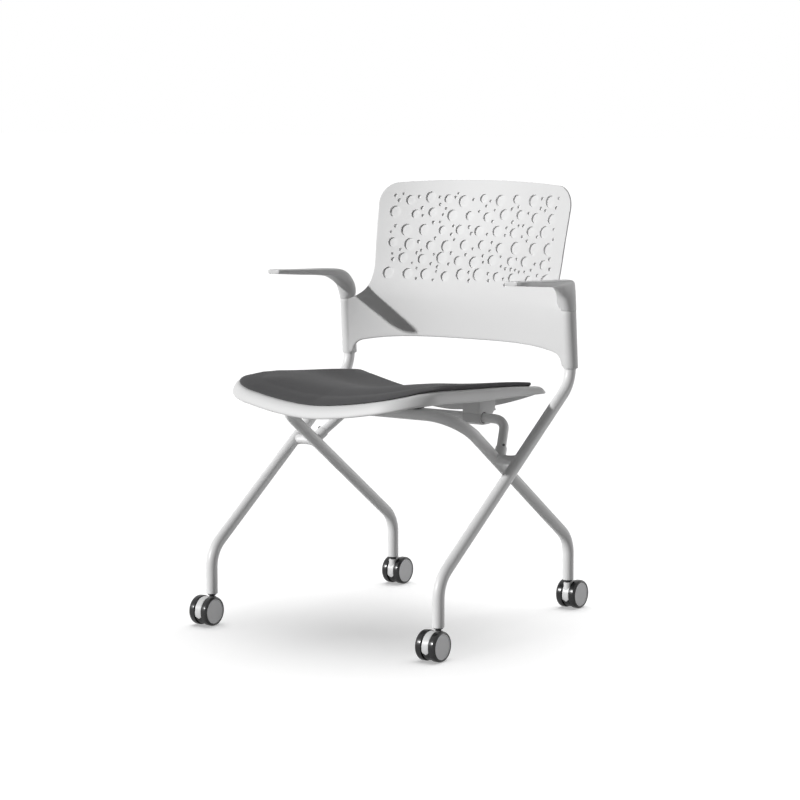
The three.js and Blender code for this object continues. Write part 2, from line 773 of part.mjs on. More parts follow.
function clampScrewProfile(grow) {
  const length = clampScrewLength + grow;
  const points = [
    [0, -grow],
    [clampScrewHead + grow, -grow],
    [clampScrewHead + grow, clampScrewHeadDepth],
    [clampScrewRadius + grow, clampScrewHeadDepth],
    [clampScrewRadius + grow, length],
    [0, length],
  ];
  const geometry = new THREE.LatheGeometry(points.map(([x, y]) => new THREE.Vector2(x, y)), smallSides);
  geometry.rotateX(Math.PI / 2);
  geometry.translate(clampInner + clampWidth / 2, pivotSetback + clampScrewSetback, jawFloor());
  return closed(geometry);
}

function bushRadius() {
  return holeRadius(pivotRadius, runningGap, tubeSides * 2) + bushWall;
}

function jawFloor() {
  return pivotHeight - bushRadius() - jawWall;
}

function clampPieces() {
  const front = pivotSetback - bushRadius() - clampFrontWall;
  const outer = clampInner + clampWidth;
  const bushHole = pivotRod(holeRadius(bushRadius(), restGap, tubeSides * 2), clampInner - cutOver, outer + cutOver);
  const lipLow = new THREE.Vector3(clampInner, front, pivotHeight - restGap);
  const lipHigh = new THREE.Vector3(outer, front + clampFrontWall, pivotHeight + jawLip);
  const body = prism([
    [front, pivotHeight + restGap],
    [front + clampWaist, pivotHeight + restGap],
    [front + clampDepth, pivotHeight + clampFlare],
    [front + clampDepth, seatSideHeight],
    [front, seatSideHeight],
  ], 'x', clampInner, outer);
  const lipSpace = block(lipLow.clone().subScalar(cutOver), lipHigh.clone().addScalar(restGap));
  const jaw = prism([
    [front, pivotHeight],
    [front, jawFloor() + jawChamfer],
    [front + jawChamfer * 2, jawFloor()],
    [front + clampWaist - jawChamfer, jawFloor()],
    [front + clampWaist, jawFloor() + jawChamfer],
    [front + clampWaist, pivotHeight],
  ], 'x', clampInner, outer);
  const screwHole = clampScrewProfile(restGap);
  return {
    upper: cut(body, lipSpace, bushHole, screwHole),
    jaw: cut(joined(jaw, block(lipLow, lipHigh)), bushHole, screwHole),
    screw: clampScrewProfile(0),
    bush: cut(pivotRod(bushRadius(), clampInner + bushEndSpare, outer - bushEndSpare),
      pivotRod(holeRadius(pivotRadius, runningGap, tubeSides * 2), clampInner - cutOver, outer + cutOver)),
  };
}

function restPad() {
  const foot = frontBarHeight + tubeRadius + restGap;
  return block(
    new THREE.Vector3(restPadReach - restPadWidth / 2, -frontBarAdvance - restPadDepth / 2, foot),
    new THREE.Vector3(restPadReach + restPadWidth / 2, -frontBarAdvance + restPadDepth / 2, seatSideHeight),
  );
}

function buildSeat() {
  add('seat_shell', 'shell', seatShell());
  add('seat_pad', 'pad', seatPad());
  const pieces = clampPieces();
  const ceiling = seatCeiling();
  const pairs = [
    ['pivot_clamp', 'bracket', pieces.upper, [ceiling]],
    ['pivot_jaw', 'bracket', pieces.jaw, []],
    ['pivot_bush', 'bush', pieces.bush, []],
    ['jaw_screw', 'steel', pieces.screw, []],
    ['seat_rest', 'rubber', restPad(), [ceiling]],
  ];
  pairs.forEach(([name, finish, geometry, cutters]) => {
    add(`${name}_left`, finish, cut(geometry, ...cutters));
    add(`${name}_right`, finish, cut(mirrored(geometry), ...cutters));
  });
}

// Casters, each modelled with its swivel axis on Z and its wheels ahead at -Y

function turnedProfile(points, sides) {
  const geometry = new THREE.LatheGeometry(points.map(([x, y]) => new THREE.Vector2(x, y)), sides);
  geometry.rotateZ(-Math.PI / 2);
  geometry.rotateX(Math.PI / sides);
  geometry.translate(0, -casterTrail, axleHeight);
  return closed(geometry);
}

function tyre() {
  const inner = casterWidth / 2 - wheelWidth;
  const outer = casterWidth / 2;
  const side = tyreInnerRadius + tyreShoulder;
  return turnedProfile([
    [tyreInnerRadius, inner],
    [wheelRadius - tyreShoulder / 2, inner],
    [wheelRadius, inner + tyreShoulder / 2],
    [wheelRadius, outer - tyreShoulder * 2],
    [wheelRadius - tyreShoulder, outer - tyreShoulder / 2],
    [side, outer],
    [tyreInnerRadius, outer - tyreShoulder / 2],
    [tyreInnerRadius, inner],
  ], wheelSides);
}

function hub() {
  const outer = casterWidth / 2 - tyreShoulder / 2;
  const radius = tyreInnerRadius * Math.cos(Math.PI / wheelSides) - restGap;
  const bore = holeRadius(axleRadius, runningGap, wheelSides);
  return turnedProfile([
    [0, outer - hubCapDish],
    [radius - tyreShoulder, outer - hubCapDish],
    [radius - tyreShoulder / 2, outer],
    [radius, outer - hubCapDish],
    [radius, outer - hubDepth],
    [bore, outer - hubDepth],
    [bore, outer - hubFloor],
    [0, outer - hubFloor],
  ], wheelSides);
}

function axle(radius, half) {
  return rod(radius, new THREE.Vector3(-half, -casterTrail, axleHeight),
    new THREE.Vector3(half, -casterTrail, axleHeight));
}

function disc(radius, width) {
  return rod(radius, new THREE.Vector3(-width / 2, -casterTrail, axleHeight),
    new THREE.Vector3(width / 2, -casterTrail, axleHeight), wheelSides);
}

const hoodSkirtShare = 0.5; // of the hood's radius, hanging below the axle

function hood() {
  const boss = rod(hoodBossRadius, new THREE.Vector3(0, 0, stemFoot), new THREE.Vector3(0, 0, hoodTop));
  const reach = hoodRadius + cutOver;
  const wheelSpace = (side) => block(
    new THREE.Vector3(side > 0 ? hoodWidth / 2 : -reach, -reach - casterTrail, 0),
    new THREE.Vector3(side > 0 ? reach : -hoodWidth / 2, reach, hoodTop + cutOver));
  const stemHole = rod(holeRadius(stemRadius, runningGap, smallSides),
    new THREE.Vector3(0, 0, stemFoot - runningGap), new THREE.Vector3(0, 0, hoodTop + cutOver));
  return cut(joined(disc(hoodRadius, hoodWidth), boss), disc(hoodRadius - hoodWall, hoodWidth + cutOver),
    ...pointedSpace(-1, 0), wheelSpace(1), wheelSpace(-1), stemHole);
}

// Two wedges that meet in a point under the hood: all below them, or all above them
function pointedSpace(up, gap) {
  const point = axleHeight - hoodRadius * hoodSkirtShare + gap;
  const side = point + hoodPoint;
  const far = axleHeight + up * (wheelRadius + cutOver);
  const reach = hoodRadius + cutOver;
  return [-1, 1].map((way) => prism([
    [0, far],
    [0, point],
    [way * hoodWidth / 2, side],
    [way * reach, side],
    [way * reach, far],
  ], 'y', -casterTrail - reach, -casterTrail + reach));
}

// The black body inside the hood, which comes out under the hood's point
function core() {
  const stemSpace = rod(holeRadius(hoodBossRadius, restGap, smallSides),
    new THREE.Vector3(0, 0, stemFoot - restGap * 2), new THREE.Vector3(0, 0, hoodTop + cutOver));
  const foot = cut(disc(hoodRadius, coreWidth), ...pointedSpace(1, -restGap));
  return cut(joined(disc(coreRadius, coreWidth), foot), stemSpace,
    axle(holeRadius(axleRadius, restGap, smallSides), coreWidth));
}

function stem() {
  const plug = tubeBore * Math.cos(Math.PI / tubeSides) - restGap;
  const points = [
    [0, stemFoot],
    [stemRadius, stemFoot],
    [stemRadius, tubeEndHeight],
    [plug, tubeEndHeight],
    [plug, tubeEndHeight + stemPlugLength],
    [0, tubeEndHeight + stemPlugLength],
  ];
  const geometry = new THREE.LatheGeometry(points.map(([x, y]) => new THREE.Vector2(x, y)), smallSides);
  geometry.rotateX(Math.PI / 2);
  return closed(geometry);
}

function faceAbout(geometry) {
  const copy = geometry.clone();
  copy.scale(1, -1, 1);
  return turned(copy);
}

function buildCasters() {
  const axleHalf = casterWidth / 2 - tyreShoulder / 2 - hubFloor - axleSpare;
  const pieces = {
    stem: ['rubber', stem()],
    hood: ['hood', hood()],
    core: ['tyre', core()],
    axle: ['steel', axle(axleRadius, axleHalf)],
    tyre_left: ['tyre', tyre()],
    tyre_right: ['tyre', mirrored(tyre())],
    hub_left: ['cap', hub()],
    hub_right: ['cap', mirrored(hub())],
  };
  for (const corner of ['front_left', 'front_right', 'rear_left', 'rear_right']) {
    const [end, side] = corner.split('_');
    const way = end === 'front' ? -1 : 1;
    const track = end === 'front' ? frontTrack : rearTrack;
    for (const [piece, [finish, geometry]] of Object.entries(pieces)) {
      const placed = end === 'front' ? geometry.clone() : faceAbout(geometry);
      placed.translate((side === 'left' ? 1 : -1) * track / 2, way * stemSpread / 2, 0);
      add(`caster_${corner}_${piece}`, finish, placed);
    }
  }
}

buildFrame();
buildBack();
buildArms();
buildSeat();
buildCasters();

export default chair;
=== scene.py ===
import json
import math
import random

import bpy
from mathutils import Matrix, Vector

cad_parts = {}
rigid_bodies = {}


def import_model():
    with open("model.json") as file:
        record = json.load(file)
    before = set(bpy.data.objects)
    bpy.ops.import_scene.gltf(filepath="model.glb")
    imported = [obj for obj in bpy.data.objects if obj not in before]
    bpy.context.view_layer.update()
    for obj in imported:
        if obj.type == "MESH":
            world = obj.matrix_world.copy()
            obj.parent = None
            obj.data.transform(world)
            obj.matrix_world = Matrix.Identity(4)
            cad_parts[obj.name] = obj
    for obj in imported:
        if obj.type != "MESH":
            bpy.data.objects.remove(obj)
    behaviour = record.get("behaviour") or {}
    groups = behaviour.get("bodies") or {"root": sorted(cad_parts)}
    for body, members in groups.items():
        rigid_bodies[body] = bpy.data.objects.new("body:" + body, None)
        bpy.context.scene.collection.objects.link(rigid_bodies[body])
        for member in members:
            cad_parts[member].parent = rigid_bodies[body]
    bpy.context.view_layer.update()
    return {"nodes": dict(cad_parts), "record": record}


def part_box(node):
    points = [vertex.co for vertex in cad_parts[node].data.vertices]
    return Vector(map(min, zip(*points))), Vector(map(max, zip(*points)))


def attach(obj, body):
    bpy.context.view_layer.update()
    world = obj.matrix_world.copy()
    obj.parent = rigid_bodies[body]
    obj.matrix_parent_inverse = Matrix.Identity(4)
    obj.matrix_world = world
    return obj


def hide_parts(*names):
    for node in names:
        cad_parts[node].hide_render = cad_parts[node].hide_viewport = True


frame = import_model()
print("frame loaded")

mm = 0.001  # lengths below are in millimetres and become metres when a mesh is placed
scene = bpy.context.scene


# Selecting, placing and finishing

def deselectAll():
    for thing in bpy.context.view_layer.objects:
        thing.select_set(False)


def selectOnly(piece):
    deselectAll()
    piece.select_set(True)
    bpy.context.view_layer.objects.active = piece


def applyModifier(piece, kind, **settings):
    selectOnly(piece)
    modifier = piece.modifiers.new(kind.lower(), kind)
    for key, value in settings.items():
        setattr(modifier, key, value)
    bpy.ops.object.modifier_apply(modifier=modifier.name)


def closeSkin(piece, merge=0.01):
    selectOnly(piece)
    bpy.ops.object.mode_set(mode="EDIT")
    bpy.ops.mesh.select_all(action="SELECT")
    bpy.ops.mesh.remove_doubles(threshold=merge * mm)
    bpy.ops.mesh.select_all(action="SELECT")
    bpy.ops.mesh.delete_loose()
    bpy.ops.mesh.select_all(action="SELECT")
    bpy.ops.mesh.fill_holes(sides=0)
    bpy.ops.mesh.select_all(action="SELECT")
    bpy.ops.mesh.normals_make_consistent(inside=False)
    bpy.ops.object.mode_set(mode="OBJECT")


def smoothSkin(piece, angle=35):
    selectOnly(piece)
    bpy.ops.object.shade_smooth_by_angle(angle=math.radians(angle))
    return piece


# One subdivision, with the many-sided faces in the middle left out of it
def subdivideRound(piece, sides):
    selectOnly(piece)
    bpy.ops.object.mode_set(mode="EDIT")
    bpy.ops.mesh.select_all(action="DESELECT")
    bpy.ops.mesh.select_mode(type="FACE")
    bpy.ops.mesh.select_face_by_sides(number=sides, extend=False)
    bpy.ops.mesh.delete(type="ONLY_FACE")
    bpy.ops.mesh.select_mode(type="VERT")
    bpy.ops.object.mode_set(mode="OBJECT")
    applyModifier(piece, "SUBSURF", levels=1, render_levels=1)
    closeSkin(piece)


def bevelEdges(piece, width, segments=3, angle=40):
    applyModifier(piece, "BEVEL", width=width * mm, segments=segments, limit_method="ANGLE",
                  angle_limit=math.radians(angle))
    return piece


def cutWith(piece, cutter, operation="DIFFERENCE"):
    applyModifier(piece, "BOOLEAN", operation=operation, solver="EXACT", object=cutter)
    bpy.data.objects.remove(cutter)
    return piece


def startCircle(name, count):
    deselectAll()
    bpy.ops.mesh.primitive_circle_add(vertices=count, radius=1, location=(0, 0, 0))
    piece = bpy.context.active_object
    piece.name = name
    piece.data.name = name
    return piece


# A circle is extruded once for each ring after the first, and then every corner goes to its ring's place
def ringLoft(name, rings):
    count = len(rings[0])
    piece = startCircle(name, count)
    bpy.ops.object.mode_set(mode="EDIT")
    bpy.ops.mesh.select_all(action="SELECT")
    for _ in rings[1:]:
        bpy.ops.mesh.extrude_region_move(TRANSFORM_OT_translate={"value": (0, 0, 1)})
    bpy.ops.object.mode_set(mode="OBJECT")
    for vertex in piece.data.vertices:
        turn = math.atan2(vertex.co.y, vertex.co.x) - math.pi / 2
        index = round(turn / math.tau * count) % count
        vertex.co = rings[round(vertex.co.z)][index] * mm
    closeSkin(piece)
    return piece


# An outline of (radius, distance along) points, spun round an axis
def spunPiece(name, profile, centre, axis, sides=48):
    piece = startCircle(name, len(profile))
    axis = Vector(axis).normalized()
    across = axis.orthogonal().normalized()
    for vertex, (radius, along) in zip(piece.data.vertices, profile):
        vertex.co = (Vector(centre) + across * radius + axis * along) * mm
    bpy.ops.object.mode_set(mode="EDIT")
    bpy.ops.mesh.select_all(action="SELECT")
    bpy.ops.mesh.spin(steps=sides, angle=math.tau, center=Vector(centre) * mm, axis=axis)
    bpy.ops.object.mode_set(mode="OBJECT")
    closeSkin(piece)
    return piece


# An outline of (across, up, rounding) corners, with each corner turned into a short curve
def roundedOutline(corners, steps=4):
    points = []
    count = len(corners)
    for i, (across, up, rounding) in enumerate(corners):
        here = Vector((across, up))
        if not rounding:
            points.append((across, up))
            continue
        start = here + (Vector(corners[i - 1][:2]) - here).normalized() * rounding
        end = here + (Vector(corners[(i + 1) % count][:2]) - here).normalized() * rounding
        for step in range(steps + 1):
            t = step / steps
            point = start * (1 - t) ** 2 + here * 2 * t * (1 - t) + end * t * t
            points.append((point.x, point.y))
    return points


def mirroredCopy(piece, name):
    copy = bpy.data.objects.new(name, piece.data.copy())
    scene.collection.objects.link(copy)
    copy.data.transform(Matrix.Scale(-1, 4, (1, 0, 0)))
    copy.data.flip_normals()
    return copy


def movedCopy(piece, name, place, faceAbout):
    copy = bpy.data.objects.new(name, piece.data.copy())
    scene.collection.objects.link(copy)
    if faceAbout:
        copy.data.transform(Matrix.Scale(-1, 4, (0, 1, 0)))
        copy.data.flip_normals()
    copy.data.transform(Matrix.Translation(Vector(place) * mm))
    return copy


# A merged copy of a CAD node's mesh, with its flat faces made whole and its edges rounded
def refinedCopy(node, name, edge):
    piece = bpy.data.objects.new(name, frame["nodes"][node].data.copy())
    scene.collection.objects.link(piece)
    closeSkin(piece)
    bpy.ops.object.mode_set(mode="EDIT")
    bpy.ops.mesh.select_all(action="SELECT")
    bpy.ops.mesh.dissolve_limited(angle_limit=math.radians(2))
    bpy.ops.object.mode_set(mode="OBJECT")
    return bevelEdges(piece, edge)


bodies = frame["record"]["behaviour"]["bodies"]
bodyOfNode = {node: body for body, nodes in bodies.items() for node in nodes}


# A piece gets its finish, stands for its CAD node and rides on that node's body
def dress(piece, finish, node):
    piece.data.materials.clear()
    piece.data.materials.append(materials[finish])
    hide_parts(node)
    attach(piece, bodyOfNode[node])


# A piece of the left side, and its mirrored copy for the right
def dressPair(piece, name, finish, node):
    dress(mirroredCopy(piece, name + "Right"), finish, node + "_right")
    dress(piece, finish, node + "_left")


# Smooth reading of a table of (place, value) pairs
def eased(table, place):
    last = len(table) - 1
    index = max([k for k, entry in enumerate(table) if entry[0] <= place] or [0])
    index = min(index, last - 1)

    def slope(k):
        before = table[max(k - 1, 0)]
        after = table[min(k + 1, last)]
        return (after[1] - before[1]) / (after[0] - before[0])

    span = table[index + 1][0] - table[index][0]
    t = min(max((place - table[index][0]) / span, 0), 1)
    lift = t * t * (3 - 2 * t)
    return (table[index][1] * (1 - lift) + table[index + 1][1] * lift
            + span * t * (1 - t) * (slope(index) * (1 - t) - slope(index + 1) * t))


def blended(low, high, share):
    return low + (high - low) * share


def easeStep(start, end, place):
    t = min(max((place - start) / (end - start), 0), 1)
    return t * t * (3 - 2 * t)


# Shader groups that several finishes share

def newGroup(name, inputs, outputs):
    group = bpy.data.node_groups.new(name, "ShaderNodeTree")
    for label, kind, value in inputs:
        socket = group.interface.new_socket(name=label, in_out="INPUT", socket_type=kind)
        socket.default_value = value
    for label, kind in outputs:
        group.interface.new_socket(name=label, in_out="OUTPUT", socket_type=kind)
    return group, group.nodes.new("NodeGroupInput"), group.nodes.new("NodeGroupOutput")


def feed(links, socket, value):
    if isinstance(value, (int, float)):
        socket.default_value = value
    else:
        links.new(value, socket)


def mathNode(nodes, links, operation, first, second):
    node = nodes.new("ShaderNodeMath")
    node.operation = operation
    for socket, value in zip(node.inputs, (first, second)):
        feed(links, socket, value)
    return node.outputs[0]


def noiseNode(nodes, links, place, scale, detail):
    node = nodes.new("ShaderNodeTexNoise")
    node.inputs["Detail"].default_value = detail
    links.new(place, node.inputs["Vector"])
    feed(links, node.inputs["Scale"], scale)
    return node.outputs["Fac"]


# Between a group's dark and light tone
def mixTones(nodes, links, source, share):
    mix = nodes.new("ShaderNodeMix")
    mix.data_type = "RGBA"
    links.new(share, mix.inputs["Factor"])
    links.new(source.outputs["Dark"], mix.inputs[6])
    links.new(source.outputs["Light"], mix.inputs[7])
    return mix.outputs[2]


# Fine grain of a moulded or sprayed skin: a height, and slow changes of colour and gloss
def buildSkinGroup():
    group, source, result = newGroup(
        "skinGrain",
        [("Light", "NodeSocketColor", (0.8, 0.8, 0.8, 1)), ("Dark", "NodeSocketColor", (0.7, 0.7, 0.7, 1)),
         ("Patch Scale", "NodeSocketFloat", 9), ("Grain Scale", "NodeSocketFloat", 900),
         ("Gloss", "NodeSocketFloat", 0.4), ("Gloss Spread", "NodeSocketFloat", 0.1)],
        [("Color", "NodeSocketColor"), ("Roughness", "NodeSocketFloat"), ("Height", "NodeSocketFloat")])
    nodes, links = group.nodes, group.links
    place = nodes.new("ShaderNodeTexCoord").outputs["Object"]
    patches = noiseNode(nodes, links, place, source.outputs["Patch Scale"], 4)
    grain = noiseNode(nodes, links, place, source.outputs["Grain Scale"], 2)
    shift = mathNode(nodes, links, "MULTIPLY",
                     mathNode(nodes, links, "SUBTRACT", patches, 0.5), source.outputs["Gloss Spread"])
    links.new(mixTones(nodes, links, source, patches), result.inputs["Color"])
    links.new(mathNode(nodes, links, "ADD", source.outputs["Gloss"], shift), result.inputs["Roughness"])
    links.new(grain, result.inputs["Height"])
    return group


# A plain weave of raised threads both ways, with a slow change of tone where the cloth has been sat on
def buildWeaveGroup():
    group, source, result = newGroup(
        "weave",
        [("Light", "NodeSocketColor", (0.2, 0.2, 0.2, 1)), ("Dark", "NodeSocketColor", (0.1, 0.1, 0.1, 1)),
         ("Thread Scale", "NodeSocketFloat", 900), ("Patch Scale", "NodeSocketFloat", 14)],
        [("Color", "NodeSocketColor"), ("Height", "NodeSocketFloat"), ("Roughness", "NodeSocketFloat")])
    nodes, links = group.nodes, group.links
    place = nodes.new("ShaderNodeTexCoord").outputs["Object"]
    waves = []
    for direction in ("X", "Y"):
        wave = nodes.new("ShaderNodeTexWave")
        wave.wave_type = "BANDS"
        wave.bands_direction = direction
        wave.inputs["Distortion"].default_value = 0.4
        wave.inputs["Detail"].default_value = 1
        wave.inputs["Detail Scale"].default_value = 2
        links.new(place, wave.inputs["Vector"])
        links.new(source.outputs["Thread Scale"], wave.inputs["Scale"])
        waves.append(wave.outputs["Fac"])
    threads = mathNode(nodes, links, "MULTIPLY", waves[0], waves[1])
    patches = noiseNode(nodes, links, place, source.outputs["Patch Scale"], 5)
    fuzz = noiseNode(nodes, links, place, 2600, 2)
    tone = mathNode(nodes, links, "MULTIPLY", mathNode(nodes, links, "ADD", threads, patches), 0.5)
    links.new(mixTones(nodes, links, source, tone), result.inputs["Color"])
    links.new(mathNode(nodes, links, "ADD", threads, mathNode(nodes, links, "MULTIPLY", fuzz, 0.4)),
              result.inputs["Height"])
    links.new(mathNode(nodes, links, "ADD", mathNode(nodes, links, "MULTIPLY", patches, 0.2), 0.6),
              result.inputs["Roughness"])
    return group


skinGroup = buildSkinGroup()
weaveGroup = buildWeaveGroup()


def newMaterial(name):
    material = bpy.data.materials.new(name)
    material.use_nodes = True
    nodes, links = material.node_tree.nodes, material.node_tree.links
    return material, nodes, links, nodes["Principled BSDF"]


# A shared group with its values set, which feeds the shader's colour, roughness and relief
def wearGroup(nodes, links, shader, group, look, values):
    node = nodes.new("ShaderNodeGroup")
    node.node_tree = group
    for label, value in values.items():
        node.inputs[label].default_value = value
    bump = nodes.new("ShaderNodeBump")
    bump.inputs["Strength"].default_value = look["bump"]
    bump.inputs["Distance"].default_value = look["bumpDepth"] * mm
    links.new(node.outputs["Color"], shader.inputs["Base Color"])
    links.new(node.outputs["Roughness"], shader.inputs["Roughness"])
    links.new(node.outputs["Height"], bump.inputs["Height"])
    links.new(bump.outputs["Normal"], shader.inputs["Normal"])


plasticIndex = 1.46
usualGlossSpread = 0.08


def grainMaterial(name, look):
    material, nodes, links, shader = newMaterial(name)
    shader.inputs["Metallic"].default_value = look.get("metal", 0)
    shader.inputs["IOR"].default_value = plasticIndex
    light = look["colour"]
    dark = [channel * look["patchTone"] for channel in light]
    wearGroup(nodes, links, shader, skinGroup, look, {
        "Light": (*light, 1), "Dark": (*dark, 1), "Patch Scale": look["patchScale"],
        "Grain Scale": look["grainScale"], "Gloss": look["roughness"],
        "Gloss Spread": look.get("spread", usualGlossSpread)})
    return material


def clothMaterial(name, look):
    material, nodes, links, shader = newMaterial(name)
    shader.inputs["IOR"].default_value = look["index"]
    shader.inputs["Specular IOR Level"].default_value = look["gloss"]
    shader.inputs["Sheen Weight"].default_value = look["sheen"]
    shader.inputs["Sheen Roughness"].default_value = look["sheenRoughness"]
    wearGroup(nodes, links, shader, weaveGroup, look, {
        "Light": (*look["light"], 1), "Dark": (*look["dark"], 1),
        "Thread Scale": look["threadScale"], "Patch Scale": look["patchScale"]})
    return material


finishes = {
    "powderPaint": {"colour": (0.92, 0.92, 0.92), "roughness": 0.36, "grainScale": 520, "bump": 0.22,
                    "bumpDepth": 0.12, "patchScale": 7, "patchTone": 0.97},
    "mouldedShell": {"colour": (0.81, 0.81, 0.81), "roughness": 0.5, "grainScale": 1500, "bump": 0.2,
                     "bumpDepth": 0.1, "patchScale": 4, "patchTone": 0.98},
    "armPlastic": {"colour": (0.8, 0.8, 0.8), "roughness": 0.45, "grainScale": 1300, "bump": 0.25,
                   "bumpDepth": 0.1, "patchScale": 12, "patchTone": 0.95},
    "castBracket": {"colour": (0.74, 0.74, 0.74), "roughness": 0.5, "grainScale": 700, "bump": 0.35,
                    "bumpDepth": 0.15, "patchScale": 30, "patchTone": 0.93},
    "softRubber": {"colour": (0.03, 0.03, 0.032), "roughness": 0.65, "grainScale": 900, "bump": 0.3,
                   "bumpDepth": 0.12, "patchScale": 40, "patchTone": 0.8},
    "bushPlastic": {"colour": (0.06, 0.06, 0.062), "roughness": 0.45, "grainScale": 900, "bump": 0.2,
                    "bumpDepth": 0.1, "patchScale": 40, "patchTone": 0.85},
    "blackScrew": {"colour": (0.1, 0.1, 0.1), "roughness": 0.35, "grainScale": 1200, "bump": 0.2,
                   "bumpDepth": 0.08, "patchScale": 60, "patchTone": 0.8, "metal": 0.9},
    "axleSteel": {"colour": (0.55, 0.55, 0.56), "roughness": 0.3, "grainScale": 1500, "bump": 0.15,
                  "bumpDepth": 0.05, "patchScale": 60, "patchTone": 0.85, "metal": 1},
    "glossTyre": {"colour": (0.012, 0.012, 0.013), "roughness": 0.24, "grainScale": 600, "bump": 0.1,
                  "bumpDepth": 0.06, "patchScale": 40, "patchTone": 0.8, "spread": 0.12},
    "capGrey": {"colour": (0.9, 0.9, 0.91), "roughness": 0.45, "grainScale": 1600, "bump": 0.2,
                "bumpDepth": 0.06, "patchScale": 30, "patchTone": 0.95},
    "hoodWhite": {"colour": (0.8, 0.8, 0.8), "roughness": 0.35, "grainScale": 1500, "bump": 0.15,
                  "bumpDepth": 0.06, "patchScale": 30, "patchTone": 0.97},
    "corePlastic": {"colour": (0.015, 0.015, 0.016), "roughness": 0.4, "grainScale": 900, "bump": 0.2,
                    "bumpDepth": 0.08, "patchScale": 40, "patchTone": 0.8},
}
materials = {name: grainMaterial(name, look) for name, look in finishes.items()}
upholstery = {"light": (0.128, 0.128, 0.131), "dark": (0.086, 0.086, 0.088), "index": 1.3,
              "gloss": 0.25, "sheen": 0.06, "sheenRoughness": 0.5, "threadScale": 260, "patchScale": 9,
              "bump": 0.35, "bumpDepth": 0.25}
materials["upholstery"] = clothMaterial("upholstery", upholstery)
print("finishes ready")


# Leg tubes

frameTubes = {
    "radius": 11, "bore": 9.2, "sides": 36, "bendStep": 5, "mouthDepth": 14, "mouthEdge": 0.6,
    "sideCorners": [(260.5, -255, 57.5), (260.5, -255, 138), (260.5, 176, 451.5353), (260.5, 176, 556)],
    "sideBends": [60, 61],
    "rearCorners": [(210, 255, 57.5), (210, 255, 138), (210, -122, 412.249)],
    "rearBends": [60, 70, 70, 60],
}
pivotBar = {"radius": 9, "sides": 32, "foot": (209.5, 18.2, 337), "corner": (180.5, 76.5, 386), "bend": 38,
            "entry": 2}


# Points along a run of corners, each rounded to its bend
def bentPath(corners, bends, bendStep):
    corners = [Vector(corner) for corner in corners]
    path = [corners[0]]
    for before, corner, after, bend in zip(corners, corners[1:], corners[2:], bends):
        arrive = (corner - before).normalized()
        leave = (after - corner).normalized()
        angle = arrive.angle(leave)
        inward = (leave - arrive * math.cos(angle)).normalized()
        start = corner - arrive * bend * math.tan(angle / 2)
        steps = math.ceil(math.degrees(angle) / bendStep)
        for step in range(steps + 1):
            part = angle * step / steps
            path.append(start + arrive * bend * math.sin(part) + inward * bend * (1 - math.cos(part)))
    path.append(corners[-1])
    return path


def circleRing(centre, across, up, radius, sides):
    return [centre + across * radius * math.cos(math.tau * i / sides)
            + up * radius * math.sin(math.tau * i / sides) for i in range(sides)]


# Rings along a path, each squarely across it, and the place and ways of each ring
def tubeRings(path, radius, sides):
    ways = [(b - a).normalized() for a, b in zip(path, path[1:])]
    ways = [ways[0]] + [(a + b).normalized() for a, b in zip(ways, ways[1:])] + [ways[-1]]
    across = Vector((1, 0, 0)) if abs(ways[0].x) < 0.9 else Vector((0, 0, 1))
    frames = []
    for point, way in zip(path, ways):
        across = (across - way * across.dot(way)).normalized()
        frames.append((point, way, across, way.cross(across)))
    return [circleRing(point, across, up, radius, sides) for point, way, across, up in frames], frames


# The open end of a tube: its bore, its rim and the rim's rounded edge
def mouthRings(frameAtEnd, inward, tube):
    point, way, across, up = frameAtEnd
    way = way * inward
    edge = tube["mouthEdge"]
    steps = [(tube["mouthDepth"], tube["bore"]), (edge, tube["bore"]), (0, tube["bore"] + edge),
             (0, tube["radius"] - edge), (edge, tube["radius"])]
    return [circleRing(point + way * along, across, up, radius, tube["sides"]) for along, radius in steps]


def buildTube(name, path, tube, openEnds):
    rings, frames = tubeRings(path, tube["radius"], tube["sides"])
    if openEnds[0]:
        rings = mouthRings(frames[0], 1, tube) + rings[1:]
    if openEnds[1]:
        rings = rings[:-1] + mouthRings(frames[-1], -1, tube)[::-1]
    return smoothSkin(ringLoft(name, rings))


def mirroredPoints(points):
    return [(-x, y, z) for x, y, z in reversed(points)]


def pivotBarPath():
    foot, corner = Vector(pivotBar["foot"]), Vector(pivotBar["corner"])
    start = foot + (corner - foot).normalized() * pivotBar["entry"]
    half = [tuple(start), tuple(corner)]
    return bentPath(half + mirroredPoints(half), [pivotBar["bend"]] * 2, frameTubes["bendStep"])


sidePath = bentPath(frameTubes["sideCorners"], frameTubes["sideBends"], frameTubes["bendStep"])
rearCorners = frameTubes["rearCorners"]
rearPath = bentPath(rearCorners + mirroredPoints(rearCorners), frameTubes["rearBends"],
                    frameTubes["bendStep"])

sideTube = buildTube("sideTubeLeft", sidePath, frameTubes, (True, False))
dressPair(sideTube, "sideTube", "powderPaint", "side_frame")
rearTube = buildTube("rearLegTube", rearPath, frameTubes, (True, True))
dress(rearTube, "powderPaint", "rear_leg_frame")
pivotTube = buildTube("seatPivotTube", pivotBarPath(), pivotBar, (False, False))
dress(pivotTube, "powderPaint", "seat_pivot_bar")
print("tubes built")


# Knuckles: a cast web between the two leg tubes, spread along each, with a collar for the pivot bar's foot

knuckle = {"height": 323.5, "innerX": 210, "outerX": 260.5, "waist": 8.8, "endRadius": 9.6, "spread": 11,
           "sides": 48, "rings": 18, "collarRadius": 10.9, "collarRise": 7, "collarRoot": 30, "voxel": 0.9,
           "soften": 7, "slope": 0.72745}
knuckleScrew = {"radius": 2.6, "length": 3, "sink": 1.4, "key": 1.3, "keyDepth": 1.4, "rise": 4.5}


